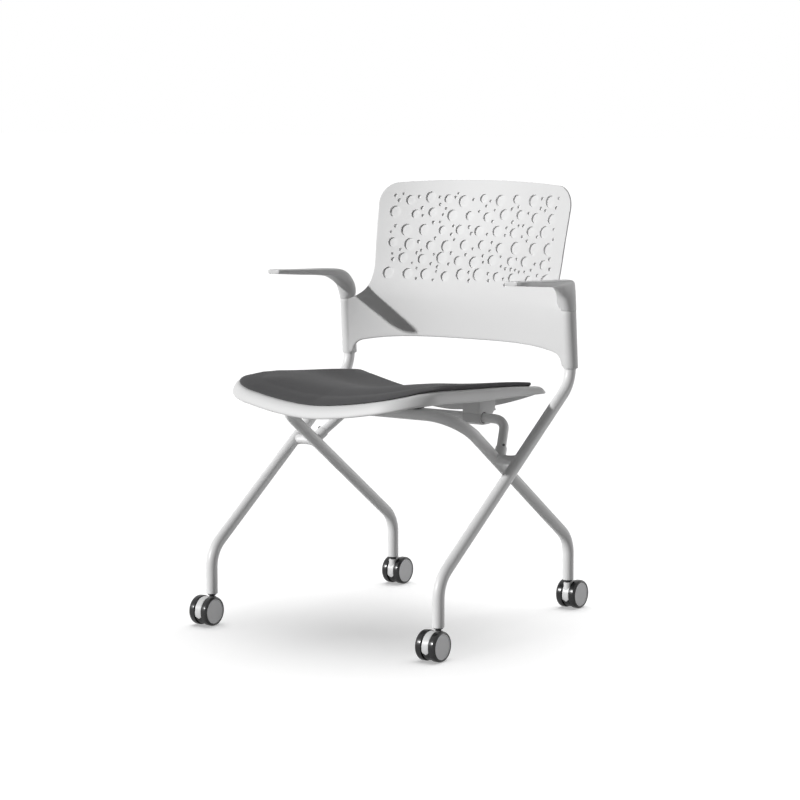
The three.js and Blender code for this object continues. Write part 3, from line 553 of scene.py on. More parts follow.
def knuckleRing(share):
    x = blended(knuckle["innerX"], knuckle["outerX"], share)
    slope = math.atan(knuckle["slope"])
    fromMiddle = abs(2 * share - 1)
    base = blended(knuckle["waist"], knuckle["endRadius"], fromMiddle ** 3)
    spread = knuckle["spread"] * fromMiddle ** 2.5
    lean = slope if share > 0.5 else math.pi - slope
    ring = []
    for i in range(knuckle["sides"]):
        angle = math.tau * i / knuckle["sides"]
        radius = base + spread * abs(math.cos(angle - lean)) ** 3
        ring.append(Vector((x, radius * math.cos(angle), knuckle["height"] + radius * math.sin(angle))))
    return ring


def stubWay():
    return (Vector(pivotBar["corner"]) - Vector(pivotBar["foot"])).normalized()


def buildScrew(name, foot, aim, screw):
    radius, length = screw["radius"], screw["length"]
    edge = radius * 0.14
    profile = roundedOutline([(0, 0, 0), (radius, 0, 0), (radius, length, edge), (0, length, 0)])
    piece = spunPiece(name, profile, foot, aim, 32)
    keyProfile = [(0, length - screw["keyDepth"]), (screw["key"], length - screw["keyDepth"]),
                  (screw["key"], length + 1), (0, length + 1)]
    cutWith(piece, spunPiece("key", keyProfile, foot, aim, 6))
    return smoothSkin(piece, 30)


def buildKnuckle():
    web = ringLoft("knuckleLeft", [knuckleRing(k / knuckle["rings"]) for k in range(knuckle["rings"] + 1)])
    reach, rise = knuckle["collarRoot"], knuckle["collarRise"]
    radius = knuckle["collarRadius"]
    collar = spunPiece("collar", roundedOutline([(0, -reach, 0), (radius, -reach, 0), (radius, rise, 1.4),
                                                 (0, rise, 0)]), pivotBar["foot"], stubWay(), 48)
    cutWith(web, collar, "UNION")
    applyModifier(web, "REMESH", mode="VOXEL", voxel_size=knuckle["voxel"] * mm)
    applyModifier(web, "SMOOTH", factor=0.5, iterations=knuckle["soften"])
    return smoothSkin(web, 60)


def screwAim():
    outwards = Vector((1, -1, 0)).normalized()
    return (outwards - stubWay() * outwards.dot(stubWay())).normalized()


knuckleLeft = buildKnuckle()
screwFoot = (Vector(pivotBar["foot"]) + stubWay() * knuckleScrew["rise"]
             + screwAim() * (knuckle["collarRadius"] - knuckleScrew["sink"]))
knuckleScrewLeft = buildScrew("knuckleScrewLeft", screwFoot, screwAim(), knuckleScrew)
dressPair(knuckleLeft, "knuckle", "powderPaint", "frame_knuckle")
dressPair(knuckleScrewLeft, "knuckleScrew", "blackScrew", "knuckle_screw")
print("knuckles built")


# Back: one thin panel that wraps forward at its sides and runs into a sleeve over each side tube

back = {
    "top": 826, "topDrop": 10, "bottom": 518, "bottomDrop": 20, "thickness": 5, "setback": 209, "lean": 60,
    "wrap": 44, "notchHalf": 232.5, "topHalf": 225.5, "waistHalf": 218, "corner": 38, "sleeveX": 260.5,
    "wingHalf": 257.5, "waistHeight": 648, "columns": 104, "edgeSteps": 7, "edgePower": 0.5,
    "wrapPower": 2.2, "joinHalf": 256, "joinSink": 1.1, "joinTop": (588, 614), "joinPower": 8,
    "fillet": 20, "filletDrop": 19, "cornerTurn": 84, "topInset": 6,
    "leanShares": [(0, 0), (0.23, 0.12), (0.42, 0.3), (0.63, 0.52), (0.84, 0.8), (1, 1)],
    "wrapShares": [(0, 0.86), (0.23, 0.95), (0.42, 0.67), (0.63, 0.66), (0.84, 0.72), (1, 0.78)],
    # half width and height of the side edge, from the sleeve's head up to the narrow place
    "wingEdge": [(257.5, 587), (255, 588), (250, 589.3), (244, 591.8), (238, 595.5), (232, 600.5),
                 (226.5, 606.8), (222.3, 615), (220.2, 623), (218.8, 634), (218, 648)],
}
sleeve = {"bottom": 478, "top": 588, "footRadius": 14.2, "headAcross": 13.2, "headDepth": 15.6, "shift": 8,
          "y": 177.4, "tubeY": 176, "sides": 64, "bore": 11.4, "boreDepth": 26, "edge": 1,
          "neck": 12.1, "neckRise": 1.7}
dimples = {"rows": 6, "lowest": 640, "highest": 787, "reach": 186, "pitch": 41, "jitter": 3.6,
           "oddInset": 6, "depth": 3.2, "large": (8.6, 12.4), "small": (2.7, 4.3), "smallCount": 92,
           "smallPast": 6, "smallBelow": 14, "smallAbove": 12, "tries": 24, "gap": 2.2, "draft": 0.4,
           "roundFrom": 5, "seed": 11}


def sleeveFront(z):
    share = min(max((z - sleeve["bottom"]) / (sleeve["top"] - sleeve["bottom"]), 0), 1)
    return sleeve["y"] - sleeve["shift"] * share - blended(sleeve["footRadius"], sleeve["headDepth"], share)


# A point of the panel's front face, moved back by inset. The sides wrap forward, and beside the sleeve they
# come forward to its front
def backPoint(x, z, inset):
    share = (z - back["bottom"]) / (back["top"] - back["bottom"])
    middle = back["setback"] + back["lean"] * eased(back["leanShares"], share)
    wrap = back["wrap"] * eased(back["wrapShares"], share)
    free = wrap * abs(x / back["notchHalf"]) ** back["wrapPower"]
    freeAtSleeve = wrap * (back["joinHalf"] / back["notchHalf"]) ** back["wrapPower"]
    missing = middle - freeAtSleeve - sleeveFront(z) - back["joinSink"]
    nearSleeve = min(abs(x / back["joinHalf"]), 1) ** back["joinPower"]
    below = 1 - easeStep(*back["joinTop"], z)
    return Vector((x, middle - free - missing * nearSleeve * below + inset, z))


def backTopEdge(x):
    return back["top"] - back["topDrop"] * (x / back["topHalf"]) ** 2


# The bottom arch, which turns down into the sleeve with a fillet
def backBottomEdge(x):
    arch = back["bottom"] - back["bottomDrop"] * abs(x / back["sleeveX"]) ** 4
    start = back["sleeveX"] - sleeve["footRadius"] - back["fillet"]
    turn = min(max((abs(x) - start) / back["fillet"], 0), 1)
    return arch - back["filletDrop"] * (1 - math.sqrt(1 - turn ** 2))


# One row of the panel: half its width, its height over the width, and how full its thickness is
def backRows():
    edge = back["thickness"] / 2
    rows = []
    for angle in (0, 25, 50, 75):
        turn = math.radians(angle)
        rows.append((back["wingHalf"], lambda x, lift=edge * (1 - math.cos(turn)): backBottomEdge(x) + lift,
                     math.sin(turn)))
    wing = back["wingEdge"]
    for k in range(14):
        rows.append((back["wingHalf"],
                     lambda x, share=k / 14: blended(backBottomEdge(x) + edge, wing[0][1], share), 1))
    halves, heights = ([(k, point[i]) for k, point in enumerate(wing)] for i in (0, 1))
    for k in range(3 * (len(wing) - 1) + 1):
        rows.append((eased(halves, k / 3), lambda x, z=eased(heights, k / 3): z, 1))
    waist = back["waistHeight"]
    for k in range(1, 22):
        share = k / 22
        rows.append((blended(back["waistHalf"], back["topHalf"], share),
                     lambda x, share=share: blended(waist, backTopEdge(x) - back["corner"], share), 1))
    lastTurn = math.radians(back["cornerTurn"])
    for k in range(14):
        turn = lastTurn * k / 13
        rows.append((back["topHalf"] - back["corner"] * (1 - math.cos(turn)),
                     lambda x, turn=turn: backTopEdge(x) - back["corner"] * (1 - math.sin(turn)), 1))
    lastHalf = rows[-1][0]
    for angle in (35, 60, 80, 90):
        turn = math.radians(angle)
        rows.append((lastHalf - back["topInset"] * (1 - math.cos(turn)),
                     lambda x, turn=turn: backTopEdge(x) - edge * (1 - math.sin(turn)), math.cos(turn)))
    return rows


def backRing(half, height, full):
    columns, steps, power = back["columns"], back["edgeSteps"], back["edgePower"]
    edge = back["thickness"] / 2
    flat = half - edge * full
    across = []
    for i in range(columns + 1):
        place = 2 * i / columns - 1
        across.append(flat * (0.4 * place + 0.6 * math.sin(math.pi / 2 * place)))
    turns = [math.pi * (k / (steps + 1) - 0.5) for k in range(1, steps + 1)]
    sides = [(edge * full * math.cos(turn) ** power, math.copysign(abs(math.sin(turn)) ** power, turn))
             for turn in turns]
    spots = [(x, -1) for x in across]
    spots += [(flat + out, depth) for out, depth in sides]
    spots += [(x, 1) for x in reversed(across)]
    spots += [(-flat - out, depth) for out, depth in reversed(sides)]
    return [backPoint(x, height(x), edge + edge * full * depth) for x, depth in spots]


def sleeveRing(z, grow=0, radius=None):
    share = (z - sleeve["bottom"]) / (sleeve["top"] - sleeve["bottom"])
    across = radius or blended(sleeve["footRadius"], sleeve["headAcross"], share) + grow
    depth = radius or blended(sleeve["footRadius"], sleeve["headDepth"], share) + grow
    y = sleeve["tubeY"] if radius else sleeve["y"] - sleeve["shift"] * share
    angles = [math.tau * i / sleeve["sides"] for i in range(sleeve["sides"])]
    return [Vector((back["sleeveX"] + across * math.cos(angle), y + depth * math.sin(angle), z))
            for angle in angles]


def buildSleeve():
    bottom, top, edge = sleeve["bottom"], sleeve["top"], sleeve["edge"]
    foot = bottom + sleeve["neckRise"]
    rings = [sleeveRing(bottom + sleeve["boreDepth"], radius=sleeve["bore"]),
             sleeveRing(bottom + 0.5, radius=sleeve["bore"]),
             sleeveRing(bottom, radius=sleeve["bore"] + 0.3),
             sleeveRing(bottom, radius=sleeve["neck"] - 0.2),
             sleeveRing(bottom + 0.2, radius=sleeve["neck"]), sleeveRing(foot, radius=sleeve["neck"])]
    rings += [sleeveRing(foot + edge * (1 - math.sin(turn)), -edge * (1 - math.cos(turn)))
              for turn in (math.radians(angle) for angle in (90, 60, 30, 0))]
    rings += [sleeveRing(blended(foot + edge, top - 0.6, k / 16)) for k in range(1, 17)]
    rings += [sleeveRing(top - 0.2, -0.2), sleeveRing(top, -0.6)]
    return ringLoft("sleeve", rings)


# The layout is our own: staggered rows of large dimples, moved a little at random, small ones in the gaps
def dimpleLayout():
    rng = random.Random(dimples["seed"])
    spots = []
    rows, jitter = dimples["rows"], dimples["jitter"]
    for row in range(rows):
        z = blended(dimples["lowest"], dimples["highest"], row / (rows - 1))
        reach = dimples["reach"] - (dimples["oddInset"] if row % 2 else 0)
        count = round(2 * reach / dimples["pitch"])
        for k in range(count + 1):
            x = -reach + (k + (0.5 if row % 2 else 0)) * dimples["pitch"]
            if x > reach:
                continue
            spots.append((x + rng.uniform(-1, 1) * jitter, z + rng.uniform(-1, 1) * jitter,
                          rng.uniform(*dimples["large"])))
    reach = dimples["reach"] + dimples["smallPast"]
    low, high = dimples["lowest"] - dimples["smallBelow"], dimples["highest"] + dimples["smallAbove"]
    for _ in range(dimples["smallCount"]):
        best, bestRoom = None, dimples["gap"]
        for _ in range(dimples["tries"]):
            x = rng.uniform(-reach, reach)
            z = rng.uniform(low, high)
            radius = rng.uniform(*dimples["small"])
            room = min(math.hypot(x - a, z - b) - radius - c for a, b, c in spots)
            if room > bestRoom:
                best, bestRoom = (x, z, radius), room
        if best:
            spots.append(best)
    return spots


def buildDimpleCutter():
    cutters = []
    depth, draft = dimples["depth"], dimples["draft"]
    for x, z, radius in dimpleLayout():
        here = backPoint(x, z, 0)
        across = (backPoint(x + 1, z, 0) - backPoint(x - 1, z, 0)).normalized()
        up = (backPoint(x, z + 1, 0) - backPoint(x, z - 1, 0)).normalized()
        outwards = across.cross(up).normalized()
        sides = 32 if radius > dimples["roundFrom"] else 16
        low, high = (radius - draft) * mm, (radius + draft) * mm
        turn = outwards.to_track_quat("Z", "Y").to_euler()
        deselectAll()
        bpy.ops.mesh.primitive_cone_add(vertices=sides, radius1=low, radius2=high, depth=2 * depth * mm,
                                        location=here * mm, rotation=turn)
        cutters.append(bpy.context.active_object)
    deselectAll()
    for cutter in cutters:
        cutter.select_set(True)
    bpy.context.view_layer.objects.active = cutters[0]
    bpy.ops.object.join()
    return cutters[0]


def buildBack():
    panel = ringLoft("backPanel", [backRing(*row) for row in backRows()])
    left = buildSleeve()
    right = mirroredCopy(left, "sleeveRight")
    cutWith(panel, left, "UNION")
    cutWith(panel, right, "UNION")
    cutWith(panel, buildDimpleCutter())
    return smoothSkin(panel, 32)


backScrew = {"radius": 4, "length": 1.8, "height": 516, "y": 189.15, "key": 2, "keyDepth": 1.1}
dress(buildBack(), "mouldedShell", "back_shell")
backScrewFoot = (back["sleeveX"], backScrew["y"], backScrew["height"])
backScrewLeft = buildScrew("backScrewLeft", backScrewFoot, (0, 1, 0), backScrew)
dressPair(backScrewLeft, "backScrew", "blackScrew", "back_screw")
print("back built")


# Arms: a closed skin through stations, from the sleeve's head round the heel and forward to the rest's end

arms = {
    "foot": 588.3, "top": 650, "reach": 238, "x": 260.5, "y": 170, "sides": 48, "between": 5,
    # Each station: forward and up of the lower edge and of the upper edge, as shares of reach and rise,
    # then the middle's way outward, half the width, what the inner side adds, and the powers of the
    # section's corners below and above
    "stations": [
        (0.068, 0, -0.066, 0, 0, 13.2, 1, 1, 1),
        (0.088, 0.22, -0.062, 0.22, 0.5, 13.2, 7, 1, 1),
        (0.115, 0.44, -0.056, 0.48, 1.5, 13.4, 8, 1, 1.1),
        (0.165, 0.61, -0.042, 0.7, 3.6, 13.6, 5, 0.85, 1.15),
        (0.235, 0.75, -0.002, 0.875, 7.5, 14.6, 2, 0.66, 1.1),
        (0.32, 0.8, 0.08, 0.97, 12, 16, 0, 0.55, 0.95),
        (0.42, 0.83, 0.26, 1.015, 17, 18, 0, 0.5, 0.8),
        (0.56, 0.865, 0.53, 1.045, 18.5, 19.5, 0, 0.45, 0.6),
        (0.7, 0.905, 0.7, 1.07, 18.5, 19.5, 0, 0.42, 0.5),
        (0.82, 0.94, 0.82, 1.09, 18.3, 19.3, 0, 0.4, 0.42),
        (0.885, 0.958, 0.885, 1.098, 15.8, 16.8, 0, 0.4, 0.4),
        (0.912, 0.966, 0.912, 1.1, 13, 14, 0, 0.42, 0.42),
    ],
}


def armRing(place):
    stations = arms["stations"]
    columns = [[(k, value) for k, value in enumerate(column)] for column in zip(*stations)]
    lowOn, lowUp, highOn, highUp, outward, half, inward, below, above = (
        eased(column, place) for column in columns)
    rise = arms["top"] - arms["foot"]
    low = Vector((0, arms["y"] - arms["reach"] * lowOn, arms["foot"] + rise * lowUp))
    high = Vector((0, arms["y"] - arms["reach"] * highOn, arms["foot"] + rise * highUp))
    ring = []
    for i in range(arms["sides"]):
        angle = math.tau * i / arms["sides"]
        power = below if math.sin(angle) < 0 else above
        across = math.copysign(abs(math.cos(angle)) ** power, math.cos(angle))
        depth = math.copysign(abs(math.sin(angle)) ** power, math.sin(angle))
        point = low.lerp(high, (1 + depth) / 2)
        point.x = arms["x"] + outward + (half + (inward if across < 0 else 0)) * across
        ring.append(point)
    return ring


def shrunkRing(ring, share):
    middle = sum(ring, Vector()) / len(ring)
    return [middle + (point - middle) * share for point in ring]


def buildArm():
    last = len(arms["stations"]) - 1
    rings = [armRing(k / arms["between"]) for k in range(last * arms["between"] + 1)]
    tip = rings[-1]
    forward = Vector((0, -1, 0))
    rings = [shrunkRing(rings[0], 0.96)] + [[point + Vector((0, 0, 0.5)) for point in rings[0]]] + rings[1:]
    for out, share in ((0.9, 0.97), (1.5, 0.88), (1.6, 0.4)):
        rings.append([point + forward * out for point in shrunkRing(tip, share)])
    return smoothSkin(ringLoft("armLeft", rings), 50)


dressPair(buildArm(), "arm", "armPlastic", "arm")
print("arms built")


# Seat: the tray and the pad share one dished surface

seat = {
    "halfWidth": 226, "front": 298, "rear": 160, "bow": 9, "frontCorner": 90, "rearCorner": 20,
    "sideHeight": 453, "sideRise": 22, "middleHeight": 416, "middleRise": 33, "dishPower": 1.65,
    "padInset": 23, "padFrontInset": 11.5, "padThickness": 9, "shellThickness": 4.8, "band": 22,
    "rearBand": 13, "rearSag": 9, "lipInset": 5.6, "lipFoot": 0.96, "lipTop": 3, "underInset": 8.5,
    "points": 192,
    "middleShares": [(0, 0), (0.2, 0.07), (0.38, 0.38), (0.6, 0.83), (0.78, 1), (0.91, 0.96), (1, 0.82)],
    "sideShares": [(0, 0), (0.12, 0.18), (0.27, 0.41), (0.56, 0.74), (0.8, 1), (0.95, 0.84), (1, 0.8)],
    "rings": [0.02, 0.14, 0.27, 0.4, 0.52, 0.63, 0.73, 0.82, 0.89, 0.95],
    # From the bed's edge over the rolled rim to its foot: inset, and drop as a share of the band
    "rim": [(25, 0), (19, 0), (14, 0.015), (11, 0.05), (8.4, 0.12), (6.2, 0.22), (4.4, 0.34), (2.8, 0.48),
            (1.4, 0.63), (0.4, 0.77), (0, 0.86), (0.3, 0.925), (1.2, 0.97), (2.6, 0.993), (4.4, 1)],
}
pad = {"round": (3, 40), "roundDepth": (3, 8.2), "frontFrom": 0.62, "frontTo": 0.9, "pull": 2.2, "foot": 2,
       "crown": 1.5, "frontLift": 9, "liftReach": 0.34, "liftDepth": (0.3, 0.7), "gap": 0.4,
       "pressure": 4, "cap": 1.4, "swellFrom": (-4.5, -1.5), "frames": 14}


def seatOutline(inset):
    half = seat["halfWidth"] - inset
    front = -(seat["front"] - inset)
    rear = seat["rear"] - inset
    bow = seat["bow"]
    frontCorner = seat["frontCorner"] - inset
    rearCorner = seat["rearCorner"] - inset / 2
    trace = [(0, rear)]

    def arc(x, y, radius, start, end):
        for k in range(25):
            angle = math.radians(blended(start, end, k / 24))
            trace.append((x + radius * math.cos(angle), y + radius * math.sin(angle)))

    arc(-half + rearCorner, rear - rearCorner, rearCorner, 90, 180)
    arc(-half + frontCorner, front + bow + frontCorner, frontCorner, 180, 270)
    start, end = Vector(trace[-1]), Vector((half - frontCorner, front + bow))
    middle = Vector((0, front - bow))
    for k in range(1, 24):
        t = k / 24
        trace.append(tuple(start * (1 - t) ** 2 + middle * 2 * t * (1 - t) + end * t * t))
    arc(half - frontCorner, front + bow + frontCorner, frontCorner, 270, 360)
    arc(half - rearCorner, rear - rearCorner, rearCorner, 0, 90)
    trace.append((0, rear))
    return evenPoints([Vector(point) for point in trace], seat["points"])


# A closed trace read at equal steps
def evenPoints(trace, count):
    lengths = [0]
    for a, b in zip(trace, trace[1:]):
        lengths.append(lengths[-1] + (b - a).length)
    points = []
    index = 0
    for k in range(count):
        place = lengths[-1] * k / count
        while lengths[index + 1] < place:
            index += 1
        span = lengths[index + 1] - lengths[index]
        points.append(trace[index].lerp(trace[index + 1], (place - lengths[index]) / span if span else 0))
    return points


def depthShare(y):
    return (seat["rear"] - y) / (seat["rear"] + seat["front"])


def seatTop(x, y):
    middle = seat["middleHeight"] + seat["middleRise"] * eased(seat["middleShares"], depthShare(y))
    side = seat["sideHeight"] + seat["sideRise"] * eased(seat["sideShares"], depthShare(y))
    dish = min(abs(x) / (seat["halfWidth"] - seat["padInset"]), 1) ** seat["dishPower"]
    return middle + (side - middle) * dish


def seatRing(outline, share, height):
    middleY = (seat["rear"] - seat["front"]) / 2
    ring = []
    for point in outline:
        x, y = point.x * share, middleY + (point.y - middleY) * share
        ring.append(Vector((x, y, height(x, y))))
    return ring


def bedHeight(x, y):
    return seatTop(x, y) - seat["padThickness"]


def bandHeight(x, y):
    rear = seat["rearBand"] + seat["rearSag"] * (1 - (x / seat["halfWidth"]) ** 2)
    return blended(rear, seat["band"], min(depthShare(y) * 2, 1))


def buildTray():
    bed = seatOutline(seat["rim"][0][0])
    rings = [seatRing(bed, share, bedHeight) for share in seat["rings"]]
    lip = (seat["lipInset"], seat["lipFoot"])
    for inset, drop in (*seat["rim"], lip):
        rings.append(seatRing(seatOutline(inset), 1,
                              lambda x, y, drop=drop: bedHeight(x, y) - bandHeight(x, y) * drop))
    lipTop = seat["shellThickness"] + seat["lipTop"]
    rings.append(seatRing(seatOutline(seat["lipInset"]), 1, lambda x, y: bedHeight(x, y) - lipTop))
    under = seatOutline(seat["underInset"])
    for share in (1, *reversed(seat["rings"])):
        rings.append(seatRing(under, share, lambda x, y: bedHeight(x, y) - seat["shellThickness"]))
    return smoothSkin(ringLoft("seatTray", rings), 50)


# The pad reaches nearer to the seat's edge in front than at the rear
def padOutline(inset):
    nearer = seatOutline(seat["padFrontInset"] + inset)
    return [point.lerp(near, depthShare(point.y))
            for point, near in zip(seatOutline(seat["padInset"] + inset), nearer)]


def frontShare(y):
    return easeStep(pad["frontFrom"], pad["frontTo"], depthShare(y))


# A ring of the pad's rounded edge, which is tight at the sides and long at the front
def padEdge(share):
    tight, long = (padOutline(width * share) for width in pad["round"])
    return [a.lerp(b, frontShare(a.y)) for a, b in zip(tight, long)]


def padRings():
    base = lambda x, y: bedHeight(x, y) + pad["gap"]
    foot = padOutline(pad["pull"])
    rings = [seatRing(foot, share, base) for share in (*seat["rings"], 1)]
    rings.append(seatRing(foot, 1, lambda x, y: base(x, y) + pad["foot"] * 0.6))
    rings.append(seatRing(padOutline(pad["pull"] * 0.3), 1, lambda x, y: base(x, y) + pad["foot"] * 0.85))
    for angle in (0, 12, 25, 38, 51, 64, 77, 90):
        turn = math.radians(angle)
        drop = 1 - math.sin(turn)
        rings.append(seatRing(padEdge(1 - math.cos(turn)), 1, lambda x, y, drop=drop: seatTop(x, y)
                              - drop * blended(*pad["roundDepth"], frontShare(y))))
    top = padEdge(1)
    for share in (0.975, *reversed(seat["rings"])):
        crown = pad["crown"] * (1 - share ** 4)
        lift = pad["frontLift"] * (1 - (1 - min((1 - share) / pad["liftReach"], 1)) ** 2)
        rings.append(seatRing(top, share, lambda x, y, crown=crown, lift=lift: seatTop(x, y) + crown
                              + lift * easeStep(*pad["liftDepth"], depthShare(y))))
    return rings


# The pad swells a little under pressure from inside; its foot and its edge line keep their place
def swell(piece):
    rest = [vertex.co.copy() for vertex in piece.data.vertices]
    cloth = piece.modifiers.new("cloth", "CLOTH")
    cloth.settings.quality = 3
    cloth.settings.use_pressure = True
    cloth.settings.uniform_pressure_force = pad["pressure"]
    cloth.settings.effector_weights.gravity = 0
    cloth.point_cache.frame_end = pad["frames"]
    for number in range(1, pad["frames"] + 1):
        scene.frame_set(number)
    selectOnly(piece)
    bpy.ops.object.modifier_apply(modifier=cloth.name)
    scene.frame_set(1)
    for vertex, place in zip(piece.data.vertices, rest):
        move = vertex.co - place
        x, y, z = place / mm
        onTop = easeStep(*pad["swellFrom"], z - seatTop(x, y))
        limit = pad["cap"] * mm * onTop
        vertex.co = place + (move * min(1, limit / move.length) if move.length else move)


dress(buildTray(), "mouldedShell", "seat_shell")
cushion = ringLoft("seatCushion", padRings())
swell(cushion)
subdivideRound(cushion, seat["points"])
smoothSkin(cushion, 60)
dress(cushion, "upholstery", "seat_pad")
print("seat built")


# Under the seat: clamps with their jaws round the pivot bar, bushes, screws and the rests on the front bar.
# Each clamp has a small tab at its rear corner

clamp = {"edge": 1, "jawEdge": 1.5, "restEdge": 1.2, "inner": 93.5, "outer": 133, "y": 76.5, "z": 386,
         "bushRadius": 10.67, "bushBore": 9.1, "bushEdge": 0.4, "bushInset": 1, "screwSink": 3,
         "tab": ((119, 110, 396), (131, 119, 400)), "tabEdge": 0.8}
jawScrew = {"radius": 4.2, "length": 3, "key": 2.1, "keyDepth": 1.6}


def buildBlock(name, low, high, edge):
    deselectAll()
    low, high = Vector(low), Vector(high)
    bpy.ops.mesh.primitive_cube_add(size=1, location=(0, 0, 0))
    piece = bpy.context.active_object
    piece.name = name
    size = high - low
    piece.data.transform(Matrix.Translation((low + high) / 2 * mm) @ Matrix.Diagonal((*(size * mm), 1)))
    return bevelEdges(piece, edge)


clampPieces = [("pivot_clamp_", "pivotClamp", "edge", "castBracket", "bracket"),
               ("pivot_jaw_", "pivotJaw", "jawEdge", "castBracket", "bracket"),
               ("seat_rest_", "seatRest", "restEdge", "softRubber", "rubber")]
for side in ("left", "right"):
    way = 1 if side == "left" else -1
    label = side.capitalize()
    low, high = (Vector(corner) for corner in clamp["tab"])
    if way < 0:
        low.x, high.x = -high.x, -low.x
    for node, name, edgeKey, finish, slot in clampPieces:
        piece = refinedCopy(node + side, name + label, clamp[edgeKey])
        if name == "pivotClamp":
            cutWith(piece, buildBlock("tab", low, high, clamp["tabEdge"]), "UNION")
        dress(smoothSkin(piece), finish, node + side)
    start = clamp["inner"] + clamp["bushInset"]
    length = clamp["outer"] - clamp["inner"] - 2 * clamp["bushInset"]
    radius, bore, edge = clamp["bushRadius"], clamp["bushBore"], clamp["bushEdge"]
    profile = roundedOutline([(bore, 0, edge), (radius, 0, edge), (radius, length, edge),
                              (bore, length, edge)])
    bush = spunPiece("pivotBush" + label, profile, (way * start, clamp["y"], clamp["z"]), (way, 0, 0))
    dress(smoothSkin(bush), "bushPlastic", "pivot_bush_" + side)
    corner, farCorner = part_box("jaw_screw_" + side)
    foot = (corner + farCorner) / 2 / mm
    foot.z = corner.z / mm + clamp["screwSink"]
    screw = buildScrew("jawScrew" + label, foot, (0, 0, -1), jawScrew)
    dress(screw, "blackScrew", "jaw_screw_" + side)
print("seat fittings built")


# Casters: modelled once round a swivel axis at the origin, with the wheels 16 mm toward -Y, then copied to
# the four legs

caster = {
    "axleHeight": 27.655, "trail": 16, "tyreRadius": 27.655, "tyreInner": 8.15, "tyreOuter": 21.75,
    "tyreBore": 23.35, "shoulder": 3.4, "capRadius": 23.0, "capDish": 0.8, "ringWidth": 1.3, "hubDepth": 11,
    "hubFloor": 4, "axleRadius": 3, "hoodRadius": 26, "hoodWidth": 14.2, "hoodBore": 22.4,
    "bossRadius": 8.2, "bossFoot": 34, "bossTop": 52, "point": 14.655, "pointDepth": 4.6, "pointGap": 0.3,
    "coreRadius": 21.6, "coreWidth": 13, "footRadius": 25.6, "spaceFoot": 33.4, "holeFoot": 30,
    "holeTop": 60, "stemRadius": 5.2, "stemFoot": 34, "neckTop": 54.6, "collarRadius": 8.3,
    "collar": (55.3, 57.2), "plugRadius": 9, "plugFoot": 57.6, "plugTop": 80,
    "sides": 72, "bossSides": 48, "stemSides": 40, "track": {"front": 260.5, "rear": 210},
    "stemSpread": 255,
}
axlePlace = (0, -caster["trail"], caster["axleHeight"])


def buildTyre():
    low, high = caster["tyreInner"], caster["tyreOuter"]
    radius, bore, shoulder = caster["tyreRadius"], caster["tyreBore"], caster["shoulder"]
    profile = roundedOutline([
        (bore, low, 0.5), (radius, low, 1.4), (radius, high - shoulder, 1.8),
        (radius - shoulder * 0.62, high - 0.5, 1.1), (bore + 0.5, high, 0.5), (bore, high - 0.9, 0)])
    return smoothSkin(spunPiece("tyre", profile, axlePlace, (1, 0, 0), caster["sides"]), 40)


def buildHub():
    outer = caster["tyreOuter"] - 0.9
    radius, dish, ring = caster["capRadius"], caster["capDish"], caster["ringWidth"]
    bore = caster["axleRadius"] + 0.1
    inner, floor = outer - caster["hubDepth"], outer - caster["hubFloor"]
    profile = roundedOutline([
        (0, outer - dish, 0), (radius - ring - 0.5, outer - dish, 0), (radius - ring, outer, 0.25),
        (radius, outer, 0.3), (radius, inner, 0.6), (bore, inner, 0), (bore, floor, 0), (0, floor, 0)])
    return smoothSkin(spunPiece("hub", profile, axlePlace, (1, 0, 0), caster["sides"]), 30)


def buildDisc(name, radius, width):
    return spunPiece(name, [(0, -width / 2), (radius, -width / 2), (radius, width / 2), (0, width / 2)],
                     axlePlace, (1, 0, 0), caster["sides"])


# Height of the pointed line that parts the white hood from the black foot
def pointedHeight(x):
    return caster["point"] + caster["pointDepth"] * abs(x) / (caster["hoodWidth"] / 2)


def wheelPoint(x, radius, angle):
    return Vector((x, radius * math.cos(angle) - caster["trail"],
                   radius * math.sin(angle) + caster["axleHeight"]))


# Equal steps round the wheels' middle from one angle to another
def wheelArc(x, radius, start, end):
    steps = caster["sides"]
    return [wheelPoint(x, radius, blended(start, end, k / steps)) for k in range(steps + 1)]


# A C-shaped strip over the wheels' middle, open below, for one place across the caster
def hoodRing(x, edge):
    drop = pointedHeight(x) - caster["axleHeight"] + edge
    outer, inner = caster["hoodRadius"] - edge, caster["hoodBore"] + edge
    low, lowInner = math.asin(drop / outer), math.asin(drop / inner)
    return wheelArc(x, outer, low, math.pi - low) + wheelArc(x, inner, math.pi - lowInner, lowInner)


# The segment of a disc below the pointed line
def footRing(x, edge):
    drop = pointedHeight(x) - caster["axleHeight"] - caster["pointGap"] - edge
    radius = caster["footRadius"] - edge
    low = math.asin(drop / radius)
    return wheelArc(x, radius, math.pi - low, math.tau + low)


# Sections from one side of the caster to the other, with the first and the last drawn in
def acrossRings(ringAt, half, edge):
    places = [-half, -half + edge, -half / 2, 0, half / 2, half - edge, half]
    return [ringAt(x, edge if abs(x) == half else 0) for x in places]


def bossRing(z, radius):
    half = caster["hoodWidth"] / 2 - 0.05
    ring = []
    for k in range(caster["bossSides"]):
        angle = math.tau * k / caster["bossSides"]
        x = min(max(radius * math.cos(angle), -half), half)
        ring.append(Vector((x, radius * math.sin(angle), z)))
    return ring


# The tool for a round hole on the swivel axis, from a height upwards
def holeTool(name, radius, foot):
    top = caster["holeTop"]
    return spunPiece(name, [(0, foot), (radius, foot), (radius, top), (0, top)], (0, 0, 0), (0, 0, 1),
                     caster["bossSides"])


